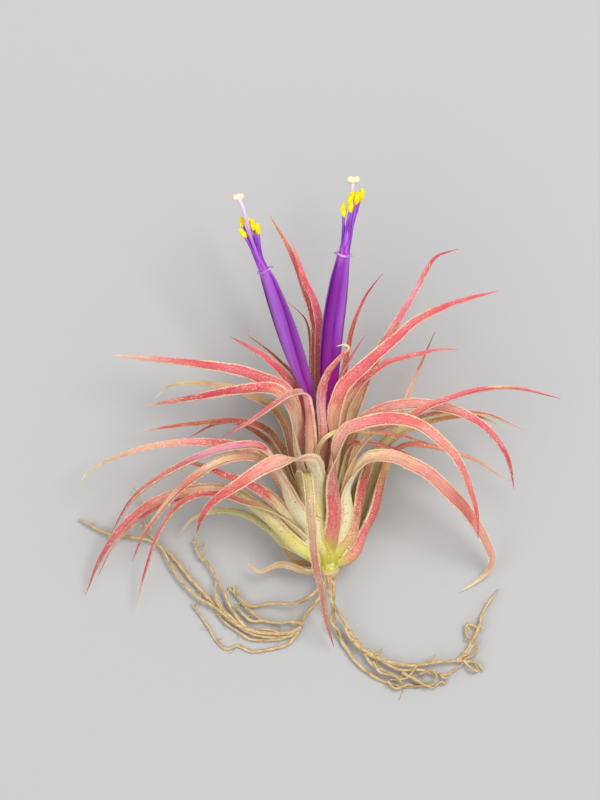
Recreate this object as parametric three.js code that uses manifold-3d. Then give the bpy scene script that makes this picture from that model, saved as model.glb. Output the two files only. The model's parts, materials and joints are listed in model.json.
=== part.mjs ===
// An air plant in bloom, picked and lying on its side, in millimetres.
// The surface it lies on is z = 0. Its stem points along +Y, so the roots trail towards -Y and the
// flowers reach towards +Y, and +Z looks up out of the open side of the rosette.

import * as THREE from 'three';
import { mergeVertices } from 'three/addons/utils/BufferGeometryUtils.js';
import Module from 'manifold-3d';

const wasm = await Module();
wasm.setup();

const UP = new THREE.Vector3(0, 0, 1);
// A side for tubes to start from: nearly up, and along none of them.
const TUBE_UPPER = new THREE.Vector3(0.13, 0.07, 1);

// Clearance kept between two pieces that touch on the real plant.
const GAP = 0.3;
// Side of the block below the surface that trims what would sink into it.
const GROUND = 200;

// The stem runs from the neck, where the roots leave, to the tip, where the flowers leave.
const NECK = new THREE.Vector3(2.75, -35.5, 9);
const STEM_TIP = new THREE.Vector3(-0.1, -5, 20.5);
const STEM_SIDES = 10;
// Height above the neck and radius there: neck, bulb, then a slim flowering shoot.
const STEM_PROFILE = [
  [-1, 1.2], [0, 1.7], [2, 2.6], [4.5, 3.4], [7.5, 3.5],
  [11, 3.0], [15, 2.3], [20, 1.6], [26, 1.2], [32, 0.9],
];

// Leaves: thickness, how deep the channel is against the width, and how the width tapers.
const BLADE = 0.7;
const CHANNEL = 0.24;
const TAPER_POWER = 0.7;
const TIP_WIDTH = 0.65;
// A leaf's base sits this far out from the stem's axis and widens into a sheath round the stem.
const BASE_REACH = 1;
const SHEATH_WIDENING = 0.35;
// Shares of a leaf's length: where its sheath ends, and where it opens away from the stem.
const SHEATH_END = 0.4;
const OPENING = [0.05, 0.5];
const MIN_LEAF_SECTIONS = 7;
const LEAF_ROUGHNESS = 0.7;

const COLOURS = {
  blush: '#e8788a',
  crimson: '#d8495f',
  olive: '#b7b07a',
  green: '#b4bd6a',
  dry: '#c2a06a',
  stem: '#a9b04e',
  root: '#dcbf8c',
  violet: '#5c1c9c',
  filament: '#8440bd',
  style: '#e6d3df',
};

// One entry for each leaf.
// around: where its base sits round the stem, in degrees, 0 on the side that looks up and 90 on
// the +X side. height: how far above the neck. width: the blade's. taper: the share of the length
// that narrows towards the tip. sheath: how much wider the base is, where it isn't the usual.
// open: how far the blade's upper face turns up, 0 to 1, or below 0 how far its outer face does.
// opening: the shares of its length between which it turns, where they aren't the usual ones.
// points: the middle line beyond the stem.
const LEAVES = {
  leaf_front_1: {
    colour: 'crimson', around: 0, height: 9, width: 4, taper: 0.42, open: 0.85,
    opening: [0.46, 0.64],
    points: [
      [-0.3, -20.5, 19], [-0.5, -14, 25], [-0.9, -9, 33.5], [-3, -5.8, 41], [-8.8, -6.5, 46],
      [-14.5, -8.8, 47], [-20, -12.5, 45], [-26.3, -16.8, 41], [-29.3, -20.5, 37.5],
      [-30.8, -25, 33],
    ],
  },
  leaf_front_2: {
    colour: 'blush', around: -25, height: 7, width: 2.9, taper: 0.5,
    points: [
      [-3.8, -22, 17.5], [-4.6, -14.5, 24.5], [-4.3, -9.8, 32], [-3.2, -10.5, 36.8],
      [-2.5, -16.8, 38.5], [-2.2, -21.8, 36], [-1.3, -31.8, 28.5], [0.3, -39.3, 20],
      [1.5, -46.8, 11], [3.5, -53.8, 3],
    ],
  },
  leaf_front_3: {
    colour: 'crimson', around: 25, height: 8, width: 3.3, taper: 0.45, open: 0.8,
    points: [
      [3.4, -20, 22], [2.8, -12, 28.5], [3.5, -5, 34.5], [6.3, 0.8, 38.3], [10, 2.3, 39.6],
      [15, 3.5, 40], [20, 3.5, 39.8], [25, 2, 39], [30, -1.8, 37], [33.8, -5.8, 34.5],
      [36.3, -10.5, 31.5], [38, -15.5, 28.5], [39.3, -20.5, 25.5], [39.5, -26.3, 22],
    ],
  },
  leaf_front_4: {
    colour: 'blush', around: 55, height: 6, width: 3.7, taper: 0.4, open: 0.7,
    points: [
      [6.4, -20, 18.5], [6.3, -14, 23.5], [8.8, -8.8, 28], [12, -6, 30.5], [15, -5.5, 31.5],
      [18.8, -6, 32], [22.5, -7.5, 31.5], [26.3, -9.5, 30], [30, -12.5, 27.5], [33.8, -16.3, 24],
      [37.5, -20.3, 19.5], [40, -24.3, 15.5], [42, -28, 11], [43.3, -32, 6.5], [42.5, -34.3, 4],
      [40, -36.8, 2], [35, -40, 0.8],
    ],
  },
  leaf_front_5: {
    colour: 'blush', around: -20, height: 17, width: 3.3, taper: 0.45, open: 0.4,
    points: [
      [-1.8, -8, 26], [-2.3, 2, 32.5], [-2.8, 7.5, 36.5], [-3.8, 10.3, 39], [-7.5, 9.8, 41],
      [-12.5, 6.5, 41.5], [-17.5, 3, 40.5], [-21.3, 0.8, 39], [-24.8, -1.3, 37],
    ],
  },
  leaf_front_6: {
    colour: 'blush', around: 20, height: 18, width: 2.5, taper: 0.35,
    points: [
      [0.7, -7, 24.5], [0.7, 0.8, 29.5], [0.2, 8.3, 32], [0.7, 12, 33.5], [2, 15.3, 35],
      [4, 17.8, 36.5], [5.8, 19.8, 37.5], [7.2, 21.2, 38.2], [6.2, 22, 38.6], [4, 21.6, 39],
    ],
  },
  leaf_front_7: {
    colour: 'olive', around: 5, height: 16, width: 1.3, taper: 0.4,
    points: [
      [-0.8, -9.5, 27], [-0.4, -4, 32], [1.3, -1.2, 34.3], [3.8, 0.3, 34.9], [7.5, 0.7, 34.6],
      [12.5, 0.3, 34.2], [17.5, -0.2, 33.4], [21.3, -0.8, 32.5], [25, -2, 31.3], [30, -3.5, 29.5],
    ],
  },
  leaf_left_1: {
    colour: 'blush', around: -85, height: 15, width: 4, taper: 0.55, open: 0.6,
    points: [
      [-4.5, -8, 20.5], [-5.6, 3.3, 25], [-7, 8.5, 27], [-10, 11.7, 28], [-14.5, 13.7, 28.5],
      [-20, 15.6, 28.5], [-30, 17.2, 28], [-42.5, 18.6, 26], [-52, 19.5, 24],
    ],
  },
  leaf_left_2: {
    colour: 'crimson', around: -55, height: 15, width: 4.1, taper: 0.5, open: 0.6,
    points: [
      [-4.5, -8, 24], [-5.6, 0.8, 29.5], [-6.6, 6, 32], [-9, 9.6, 33.3], [-11.5, 11.1, 33.8],
      [-15, 11.3, 34], [-20, 10.9, 34], [-30, 9.1, 33.5], [-36, 8.1, 32.4], [-43.5, 6.9, 31],
    ],
  },
  leaf_left_3: {
    colour: 'olive', around: -110, height: 13, width: 2.3, taper: 0.5, open: 0.7,
    points: [
      [-5.8, -10, 17.5], [-8.3, 0.8, 21], [-10, 4.5, 22.3], [-12.5, 7, 23], [-17.5, 9.5, 23],
      [-22.5, 11.7, 22.5], [-27.5, 12.3, 21.5], [-32.5, 12.5, 20], [-37.5, 11.8, 18],
      [-41.3, 8.8, 16],
    ],
  },
  leaf_left_4: {
    colour: 'crimson', around: -125, height: 17, width: 3.1, taper: 0.5, open: 0.8,
    points: [
      [-3, -6, 19], [-4, 4, 21.5], [-6.2, 10.5, 23.5], [-8, 13.3, 24.5], [-10, 15.8, 25],
      [-12.5, 18, 25.5], [-14.5, 19.6, 25.7], [-17.5, 21.4, 25.7], [-22.5, 24.1, 25],
    ],
  },
  leaf_left_5: {
    colour: 'dry', around: -145, height: 15, width: 1.3, taper: 0.5, open: 0.8,
    points: [
      [-3, -6, 15.5], [-4.3, 6, 17.5], [-6.5, 14.3, 19.5], [-10, 18, 20.5], [-12.5, 20.3, 20.8],
      [-15.5, 22.6, 21], [-18, 24.6, 21], [-17.8, 25.8, 20.8],
    ],
  },
  leaf_left_6: {
    colour: 'blush', around: -105, height: 9, width: 2.2, taper: 0.55, open: 0.8,
    points: [
      [-7, -17, 14.5], [-13, -8.5, 19.5], [-19, -3.7, 23], [-26.3, -2.4, 25], [-35, -2.3, 25.5],
      [-45, -4, 24], [-52.5, -6.7, 20.5], [-58, -9.6, 16.5], [-60.3, -13.3, 13.5],
    ],
  },
  leaf_left_7: {
    colour: 'crimson', around: -42, height: 9, width: 3.8, taper: 0.5, sheath: 1.5, open: 0.5,
    points: [
      [-5.6, -18.5, 22], [-8.6, -11.8, 29], [-11.3, -6.5, 33], [-15, -3.2, 34.5], [-20, -3, 35],
      [-27.5, -4.7, 34], [-35, -8, 31.5], [-42.5, -12.5, 28], [-47.5, -17, 25], [-52, -24.5, 21],
    ],
  },
  leaf_left_8: {
    colour: 'blush', around: -70, height: 8, width: 2.6, taper: 0.5, open: 0.6,
    points: [
      [-5.5, -19.5, 17.8], [-8.8, -13, 23], [-12.5, -7.3, 28], [-16.3, -6, 30.5],
      [-20, -5.8, 31.5], [-23.8, -6.5, 32], [-27.5, -8.3, 31.3], [-32.5, -11.8, 28.3],
      [-37, -16, 23.8], [-40.5, -20.3, 19.5], [-44.5, -26, 13.5], [-47, -32, 9.5],
    ],
  },
  leaf_left_9: {
    colour: 'crimson', around: -55, height: 6, width: 3.6, taper: 0.72, sheath: 0.6, open: -0.9,
    points: [
      [-5, -24, 15.5], [-8.8, -19.5, 19.5], [-12.5, -16, 22.5], [-16.3, -13.5, 24.8],
      [-20, -11.8, 26], [-23.8, -10.5, 26.8], [-27.5, -9, 27], [-31, -7.7, 26.8],
      [-33.6, -7.5, 26.5], [-34.6, -8.9, 26], [-33.4, -11, 25.3],
    ],
  },
  leaf_left_10: {
    colour: 'olive', around: -60, height: 5, width: 3.5, taper: 0.75, sheath: 0.7, open: -0.8,
    points: [
      [-5, -28, 12.3], [-8.8, -24.8, 14.5], [-12.5, -21.2, 17], [-16.3, -18, 19],
      [-20, -15.5, 20], [-26.3, -13.8, 20.5], [-33.8, -14.6, 19.8], [-41.3, -17.1, 17],
      [-48.8, -22.6, 12.5], [-55, -31.3, 7], [-58.8, -40.6, 2],
    ],
  },
  leaf_left_11: {
    colour: 'blush', around: -115, height: 6, width: 1.7, taper: 0.6, open: 0.8,
    points: [
      [-8, -22.5, 11], [-17, -16.8, 14], [-26, -15.2, 15], [-33.8, -16, 14.2], [-37.5, -17.2, 13],
      [-45, -21.3, 9.5], [-51.3, -27.5, 5.5], [-55.5, -35.5, 1],
    ],
  },
  leaf_left_12: {
    colour: 'crimson', around: -75, height: 7, width: 1.9, taper: 0.5, open: 0.5,
    points: [
      [-7.6, -21.8, 18.6], [-13.5, -18.6, 21.5], [-19, -17.2, 23.8], [-25, -15.2, 24.6],
      [-31.3, -15.6, 23.3], [-36, -18.6, 20.5], [-39, -22.3, 17.2], [-41.5, -27.5, 13.2],
      [-44, -35, 7.5], [-46.5, -44.8, 2.5],
    ],
  },
  leaf_left_13: {
    colour: 'green', around: -80, height: 4, width: 2.5, taper: 0.7, open: -0.8,
    points: [
      [-5, -29.5, 8], [-8.8, -27.8, 8.5], [-12, -24.5, 9.5], [-18.8, -20.4, 9.8], [-25, -19.5, 9],
      [-31.8, -21.5, 6.5], [-35.5, -25.8, 3],
    ],
  },
  leaf_left_14: {
    colour: 'olive', around: -125, height: 11, width: 2.4, taper: 0.75, open: 0.8,
    points: [
      [-5, -13, 14.5], [-8, -6, 17], [-10.3, -2.7, 18], [-12.7, 0.4, 18.6], [-16, 2.2, 18.8],
      [-22.5, 3.1, 17.8], [-30, 2.5, 15.5], [-38.8, 1.4, 12], [-45.8, 0.1, 8.5],
    ],
  },
  leaf_left_15: {
    colour: 'dry', around: -140, height: 10, width: 2, taper: 0.7, open: 0.8,
    points: [
      [-5.8, -14, 11.5], [-10.5, -4.4, 13.5], [-13.3, -1.8, 14], [-17, 0.9, 14.4],
      [-21.3, 2.6, 14.3], [-26, 2.3, 13.5], [-33.3, -1.5, 10.5],
    ],
  },
  leaf_top_1: {
    colour: 'blush', around: 175, height: 16, width: 2.7, taper: 0.42, sheath: 0, open: 0.9,
    points: [
      [-0.8, -4, 16.5], [-1.2, 9.5, 20], [-1.2, 18.3, 22.5], [-1, 25.8, 24.5], [-2, 30.8, 26],
      [-3.3, 34.5, 27], [-5, 39.5, 28], [-7.5, 45.5, 29], [-12.5, 54.3, 30],
    ],
  },
  leaf_top_2: {
    colour: 'crimson', around: 150, height: 18, width: 2.4, taper: 0.35, sheath: 0, open: 0.9,
    points: [
      [0.4, -3, 18.8], [-0.2, 12, 22.6], [-0.2, 20, 25.2], [-0.2, 27, 27.8], [-1.5, 33.3, 29.8],
      [-3.3, 37, 30.8], [-5, 42, 31.5], [-7.3, 48.5, 32],
    ],
  },
  leaf_top_3: {
    colour: 'dry', around: -165, height: 13, width: 1.5, taper: 0.6, sheath: 0, open: 0.9,
    points: [
      [-2, -2, 12.5], [-2.4, 12, 16], [-2.4, 22, 19.5], [-3.6, 28.3, 21], [-8, 32.8, 21.5],
    ],
  },
  leaf_top_4: {
    colour: 'crimson', around: 120, height: 16, width: 1.5, taper: 0.4, sheath: 0.2, open: 0.9,
    points: [
      [2.5, -4, 17.8], [4.8, 6, 20.5], [5.5, 12, 22], [6.6, 18.3, 23.8], [7.6, 24, 25.2],
      [8.6, 27.8, 26], [10.1, 31.5, 26.5], [11.9, 35, 26.8], [15.6, 39.8, 27],
    ],
  },
  leaf_top_5: {
    colour: 'crimson', around: 60, height: 18, width: 1.7, taper: 0.4, sheath: 0.2, open: 0.4,
    points: [
      [2, -6, 22.5], [3.8, 2, 27], [4.3, 8.3, 30], [4.6, 12, 31.3], [5.3, 14.8, 32.2],
      [6.7, 17.2, 33], [8.8, 20.8, 34], [11.3, 24.5, 34.5],
    ],
  },
  leaf_right_1: {
    colour: 'blush', around: 50, height: 16, width: 3.9, taper: 0.6, open: 0.85,
    points: [
      [2.8, -7, 26.5], [3.4, 3.3, 32.3], [4.2, 7.8, 34.3], [5.6, 11.3, 35.5], [7.9, 13.9, 36.2],
      [10.7, 16.5, 36.6], [13.2, 18.8, 36.9], [18.2, 23, 37], [23.2, 27.5, 36.8],
      [30.7, 31.5, 36], [35.7, 33.2, 35], [44.5, 35.5, 33],
    ],
  },
  leaf_right_2: {
    colour: 'blush', around: 95, height: 15, width: 3.4, taper: 0.6, open: 0.7,
    points: [
      [5, -7, 19.5], [6.8, 1.3, 22.8], [8.5, 5.7, 24], [10.3, 10.7, 25], [13.1, 17.7, 26],
      [17.5, 24.9, 27], [19.5, 28.2, 27.3], [21.8, 31.9, 27.5], [24.3, 36.2, 27.5],
      [26.8, 41, 27.4], [29, 44, 27], [34.5, 46, 26],
    ],
  },
  leaf_right_3: {
    colour: 'blush', around: 75, height: 15, width: 2.9, taper: 0.55, open: 0.6,
    points: [
      [4, -7, 23.3], [5.3, 2, 27.2], [6.2, 6.3, 28.7], [8, 9.5, 29.8], [10.3, 12.8, 30.5],
      [13.3, 15.3, 31], [16.6, 17.5, 31], [20.3, 18.8, 30.8], [25.3, 19.9, 30], [30, 20.9, 28.8],
      [34.5, 20.9, 27.5],
    ],
  },
  leaf_right_4: {
    colour: 'dry', around: 135, height: 6, width: 1.8, taper: 0.6, open: 0.9,
    points: [
      [9, -24, 8.5], [12, -16.8, 10.3], [15, -8, 12], [18, -0.5, 13.3], [20.5, 5.8, 13.8],
      [23.5, 13.3, 13.6], [25.5, 17.8, 12.8], [28.8, 25.3, 11],
    ],
  },
  leaf_right_5: {
    colour: 'crimson', around: 60, height: 11, width: 1.2, taper: 0.5, open: 0.4,
    points: [
      [5.2, -9.5, 24.2], [7.4, -3.2, 27.6], [10.5, -2.2, 28.4], [14.5, -2.8, 28],
      [18.8, -4, 26.6], [24, -6.5, 24], [30, -11, 19.5],
    ],
  },
  leaf_right_6: {
    colour: 'crimson', around: 70, height: 10, width: 3.2, taper: 0.4, open: 0.6,
    points: [
      [6, -12, 21.5], [7.8, -3, 25.8], [10.3, 3, 28], [16.3, 6.3, 30], [20, 7.1, 30.3],
      [25, 7.3, 30.5], [32.5, 6.1, 30.3], [37.8, 3.8, 29.5], [42, 0.9, 28], [45.2, -3.1, 25.8],
      [47.2, -7, 23.5], [48.6, -14, 19],
    ],
  },
  leaf_right_7: {
    colour: 'blush', around: 55, height: 9, width: 2.5, taper: 0.55, open: 0.6,
    points: [
      [5.6, -14, 22.3], [8.2, -6, 27.2], [13.2, 0.5, 31.5], [19.6, 3, 35], [23.8, 5, 36.2],
      [27.5, 7, 36.8], [31.3, 8.4, 37], [35, 9.7, 37], [40, 10.9, 36.5], [45, 11.4, 35.5],
      [50, 11.1, 34], [60, 8.6, 30],
    ],
  },
  leaf_right_8: {
    colour: 'crimson', around: 75, height: 4.5, width: 2.4, taper: 0.85, sheath: 0.6, open: -0.9,
    points: [
      [7.4, -29.4, 10.6], [10.4, -25.2, 11.4], [13.3, -19.8, 13.5], [14.8, -14.3, 15.3],
      [16.3, -9, 17.3], [18.2, -5, 18.8], [21.5, -3, 19.5], [26, -3, 19.3], [32, -4.3, 18],
      [38.8, -6.7, 15.8], [44, -9.9, 13], [48.3, -12.5, 10.5],
    ],
  },
  leaf_right_9: {
    colour: 'crimson', around: 70, height: 6.5, width: 2.8, taper: 0.85, open: -0.9,
    points: [
      [6.8, -25, 14], [9.3, -18.5, 16.5], [10.8, -11.8, 18.8], [13, -6, 20.2], [16.3, -1.8, 21.2],
      [20, 1.3, 21.5], [25, 3.8, 21.2], [30, 5, 20.3], [37.5, 5.1, 18], [42.5, 4.4, 16],
      [51, 0.8, 12],
    ],
  },
  leaf_right_10: {
    colour: 'dry', around: 120, height: 8, width: 2.4, taper: 0.7, open: 0.9,
    points: [
      [7.6, -18, 12], [11.5, -9.5, 14.5], [16, -3.5, 16.4], [22, 0.7, 17.2], [30, 3.5, 16.6],
      [38.8, 4.2, 14.6], [42.7, 3, 13], [46.1, 0.9, 11.5],
    ],
  },
  leaf_dry_1: {
    colour: 'dry', around: -110, height: 1.8, width: 2.6, taper: 0.8, open: 0.6,
    points: [
      [-2.6, -35, 8], [-5, -34.3, 7.6], [-7.5, -33.3, 7.3], [-10, -33, 7.2], [-12.5, -33.8, 7.2],
      [-15, -34.9, 6.8], [-17.3, -33.6, 6.6], [-18.5, -31.5, 7],
    ],
  },
  leaf_dry_2: {
    colour: 'dry', around: -150, height: 3.5, width: 1.6, taper: 0.6, open: 0.8,
    points: [[-2.5, -32.8, 5.4], [-6.5, -32, 5.4], [-9, -29, 5.4], [-11.5, -25.3, 5.4]],
  },
  leaf_back_1: {
    colour: 'olive', around: 180, height: 13, width: 3.2, taper: 0.5,
    points: [[0, -11, 8.5], [-1, 0, 4], [-2, 8, 0.9], [-3, 14, 0]],
  },
  leaf_back_2: {
    colour: 'olive', around: -150, height: 12, width: 2.8, taper: 0.6, open: 0.5,
    points: [
      [-5, -9, 8], [-8.2, 0.5, 4], [-11, 5.5, 1.8], [-16, 9, 0.4], [-22, 10.6, 0],
      [-28, 9.6, 0.2],
    ],
  },
  leaf_back_3: {
    colour: 'olive', around: -125, height: 8, width: 2.8, taper: 0.6, open: 0.6,
    points: [
      [-6.5, -18, 6.3], [-10.5, -9.5, 3.6], [-16, -4.5, 1], [-25, -4, 0], [-32, -6.3, 0.3],
    ],
  },
  leaf_back_4: {
    colour: 'olive', around: 150, height: 12, width: 2.8, taper: 0.6, open: 0.5,
    points: [
      [5.5, -10, 8], [9, 0, 4], [12.5, 4.8, 1.8], [18, 7, 0.4], [24, 7.3, 0], [30, 6.6, 0.2],
    ],
  },
  leaf_back_5: {
    colour: 'olive', around: 130, height: 7, width: 2.8, taper: 0.6, open: 0.6,
    points: [[9, -18, 5], [13.8, -9.5, 2.6], [19.5, -6, 0.7], [26, -9, -0.1], [31.5, -13.8, 0.2]],
  },
  leaf_back_6: {
    colour: 'olive', around: -170, height: 10, width: 3.2, taper: 0.6, open: 0.3,
    points: [[-3, -15, 6.5], [-6, -6, 2.8], [-9, 2, 0.5], [-12, 8.5, 0.1]],
  },
};

// Roots: each strand is a radius and the points of its middle line.
const ROOT_SIDES = 4;
const ROOT_THINNING = 0.8;
const ROOT_BUNCHES = {
  roots_left: [
    [0.55, [1.6, -35.5, 9.5], [1.3, -37.3, 8.3], [-3.8, -41.8, 5.5], [-6.8, -42.8, 4],
      [-12.5, -42.8, 2.5], [-17.5, -43.5, 1.5], [-19.5, -42.3, 1.2], [-23, -38.8, 1]],
    [0.4, [-19.3, -42.5, 1.2], [-20.6, -40.6, 1.6], [-21, -38.5, 2]],
    [0.65, [1.6, -35.5, 9.3], [1.2, -38.2, 7.8], [-0.5, -41.8, 6], [-2.5, -44.3, 4.5],
      [-4, -46.3, 3], [-4.6, -49, 2]],
    [0.45, [-4.4, -47.8, 2.2], [-7.5, -47.4, 2], [-10, -47.8, 1.8], [-14.5, -46.9, 1.6],
      [-18, -44.3, 1.8], [-19.8, -42.6, 1.6]],
    [0.45, [-13.8, -47, 1.6], [-17, -47.3, 1.5], [-18.5, -46.3, 1.4], [-21.5, -43.3, 1.2]],
    [0.6, [-4.6, -48.8, 2], [-7.5, -50.1, 1.8], [-12.5, -50.3, 1.5], [-16.3, -49.8, 1.4],
      [-21.3, -47.8, 1.4], [-26.3, -43.5, 1.4], [-30, -39.3, 1.3], [-33.3, -35.8, 1.2],
      [-36.3, -31.8, 1.2], [-40, -28.8, 1.2], [-42.5, -27, 1.4], [-48.8, -26, 1.6],
      [-54.3, -24.9, 1.4], [-60.5, -21.8, 1]],
    [0.45, [-4.6, -48.8, 1.8], [-7.5, -51, 1.4], [-12.5, -51.3, 1], [-17.5, -50.3, 1],
      [-27, -43.3, 2.2], [-30, -41.8, 2], [-33, -39.3, 1.8], [-36.5, -35, 1.8],
      [-39.5, -29.3, 2.2], [-42.5, -25.5, 2.2], [-44.3, -21.3, 2], [-44.5, -18.8, 2],
      [-46.7, -13.8, 2.3]],
    [0.4, [-7, -50.8, 1.3], [-10, -51.8, 0.9], [-17.5, -51.8, 0.8], [-20, -50.3, 0.9],
      [-24.5, -47, 1], [-26.8, -43.8, 1.4]],
    [0.45, [-18.5, -49.2, 1.4], [-22.5, -43.8, 2], [-23.8, -40.5, 2.2], [-25.5, -37.5, 2],
      [-28.3, -32.5, 1.8], [-30, -31.3, 1.8], [-31.3, -28, 2], [-30.8, -24.8, 2.4]],
    [0.45, [-20.3, -48, 1.5], [-25.3, -43.3, 2.5], [-26, -41.3, 2.6], [-26.2, -36.8, 3]],
    [0.45, [-4.6, -48.8, 1.8], [-8, -53, 0.8], [-13.8, -54.6, 0.4], [-17.5, -54.9, 0.4],
      [-20.8, -53.5, 0.4], [-23.5, -54.3, 0.4], [-26.3, -51.8, 0.4], [-28, -48.8, 0.7],
      [-32.3, -42.8, 1]],
  ],
  roots_right: [
    [0.6, [2.9, -35.5, 9.4], [2.6, -37, 8.4], [2.8, -41.8, 6.5], [3.8, -43.8, 5.5],
      [6.5, -48, 3.5], [7.5, -50.5, 3]],
    [0.85, [7.2, -49.8, 3.1], [9.3, -53, 2.6], [11.8, -55, 2.3], [15, -56.8, 2.2],
      [17.5, -57.7, 2.2]],
    [0.5, [16.5, -57.4, 2.2], [21.3, -58.3, 2.5], [25, -58.3, 2.6], [30, -57.5, 2.4],
      [35, -57.3, 2], [39.5, -57.8, 1.4], [41, -60, 0.9]],
    [0.55, [2.9, -35.5, 9.2], [3.5, -38.2, 7.4], [3.3, -41.5, 6], [3.3, -44.8, 4], [4, -49.3, 2],
      [5.5, -52.3, 1.3], [7.5, -55.5, 1], [10, -58.5, 0.9], [15, -62, 0.5], [18, -63, 0.4],
      [21.3, -63.7, 0.4], [26.3, -63.5, 0.5], [31.8, -62.8, 0.9]],
    [0.5, [10.8, -54.6, 2.2], [13, -58, 1.6], [18.8, -61, 1.6], [22.5, -61.5, 1.5],
      [25, -62.6, 1.2], [27.5, -63.4, 1]],
    [0.45, [15.5, -57.2, 2.1], [20, -59.5, 2], [25, -59.5, 2], [31.3, -60.8, 1.4],
      [33.8, -59.5, 1.6], [36.5, -57.5, 1.9]],
    [0.55, [34.4, -57.3, 2], [36.3, -55.5, 2.3], [39, -51, 2.2], [40, -48.5, 2],
      [40.8, -45.5, 1.8], [42.5, -42.5, 1.6], [44.8, -39.3, 1.4]],
    [0.4, [39.8, -48.9, 2], [36.9, -48.1, 2], [37.2, -51.6, 2], [38.6, -51.6, 2.1]],
  ],
};

// Flowers: three petals rolled into a tube, each one a step proud of the next.
const PETALS = 3;
const TUBE_SIDES = 12;
const PETAL_STEP = 0.12;
// The outer part of each petal bends back in a lip: along the tube's axis from the mouth, out from
// the rim, and how thick it is there.
const LIP = [
  { along: -1.2, out: -0.3, radius: 0.45 },
  { along: 0, out: -0.1, radius: 0.45 },
  { along: 0.15, out: 0.35, radius: 0.4 },
  { along: -0.35, out: 0.75, radius: 0.3 },
];
const LIP_SIDES = 6;
// The stamens grow from a collar in the mouth, in a circle, and the pistil from its middle.
const COLLAR = { radius: 1.25, depth: 3.5, rise: 0.6, sides: 8 };
const FILAMENT = { radius: 0.45, circle: 0.9, depth: 0.4, straight: 4, sides: 4, sections: 3 };
const ANTHER = { sides: 6, ends: 0.5, rise: 0.2 };
const STYLE = { foot: 0.28, radius: 0.42, straight: 4, sides: 6, sections: 8 };
// The stigma's three lobes, in shares of its size.
const LOBE = { radius: 0.5, apart: 0.58, sides: 6, rows: 5 };
// tube: middle line of the rolled petals from base to mouth, with the radius there. turn and twist:
// the degrees that the petals are turned at the base, and further by the mouth. bundle: how wide
// the stamens' circle is against the usual. anthers: their middles, in order round the style, and
// the degrees that they lean to the right. antherSize: half thickness and half length. style: its
// middle line beyond the mouth. lobes: how far ahead the stigma's lobes are, in shares of its size.
const FLOWERS = {
  flower_right: {
    tube: [
      [1.2, -3.8, 21.6, 0.9], [1.7, 2, 23.8, 1.4], [2.2, 8.3, 26.3, 2.1], [2.6, 18.3, 30, 2.6],
      [3, 23.3, 31.8, 2.7], [3.5, 28.3, 33.3, 2.75], [4.2, 33.3, 34.7, 2.65], [4.9, 38.3, 36, 2.3],
      [5.5, 42, 37, 1.85], [5.9, 44.3, 37.5, 1.65],
    ],
    turn: 165,
    twist: -10,
    bundle: 1,
    anthers: [
      [7.7, 58.7, 43.2, 22], [9.2, 58.6, 42.2, 10], [10.3, 59.3, 40.6, 12], [8.2, 57.4, 38.2, 5],
      [5.9, 55.6, 41, -4], [7.6, 56.7, 42.6, 0],
    ],
    antherSize: [0.72, 1.8],
    style: [[7.8, 55.3, 40], [8.1, 60.8, 40.6], [8.3, 62.9, 41]],
    stigma: 1.5,
    lobes: [0.2, 0.05, 0.2],
  },
  flower_left: {
    tube: [
      [-1.3, -3.8, 20.8, 0.8], [-1.9, 2, 22.6, 1.1], [-2.9, 10.3, 25.5, 1.6],
      [-4.3, 14, 26.7, 1.95], [-5.8, 18.3, 28.3, 2.35], [-7.5, 23.3, 30, 2.5],
      [-9.2, 28.3, 31.6, 2.45], [-11, 33.3, 33, 2.2], [-12.9, 38.3, 34.2, 1.75],
      [-13.8, 40.3, 34.6, 1.4],
    ],
    turn: 112,
    twist: -57,
    bundle: 0.85,
    anthers: [
      [-16.9, 52.2, 39.4, -8], [-15.5, 50.9, 39.4, -6], [-16.1, 50.4, 37.6, 0],
      [-16.5, 51.7, 36.6, -20], [-19.5, 52.6, 37.9, 0], [-19.2, 49.8, 39.2, -38],
    ],
    antherSize: [0.7, 1.45],
    style: [[-17, 48.1, 38.7], [-18.2, 52.6, 40.6], [-19.5, 57, 40.4], [-20.4, 58.7, 40]],
    stigma: 1.35,
    lobes: [0, 0.25, 0.2],
  },
};
const FLOWER_ROUGHNESS = 0.6;
// The rolled petals' faces meet their neighbours at this much more than the usual clearance.
const PETAL_CLEARANCE = 0.1;

// ---- solids ----

function toSolid(geometry) {
  const bare = geometry.clone();
  bare.deleteAttribute('normal');
  bare.deleteAttribute('uv');
  const merged = mergeVertices(bare, 1e-5);
  return new wasm.Manifold(new wasm.Mesh({
    numProp: 3,
    vertProperties: new Float32Array(merged.attributes.position.array),
    triVerts: new Uint32Array(merged.index.array),
  }));
}

function toGeometry(solid) {
  const mesh = solid.getMesh();
  const geometry = new THREE.BufferGeometry();
  geometry.setAttribute('position', new THREE.BufferAttribute(mesh.vertProperties, 3));
  geometry.setIndex(new THREE.BufferAttribute(mesh.triVerts, 1));
  return geometry;
}

function join(solids) {
  return solids.reduce((whole, solid) => whole.add(solid));
}

function largestBody(solid) {
  const bodies = solid.decompose();
  return bodies.reduce((best, body) => (body.volume() > best.volume() ? body : best));
}

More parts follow.
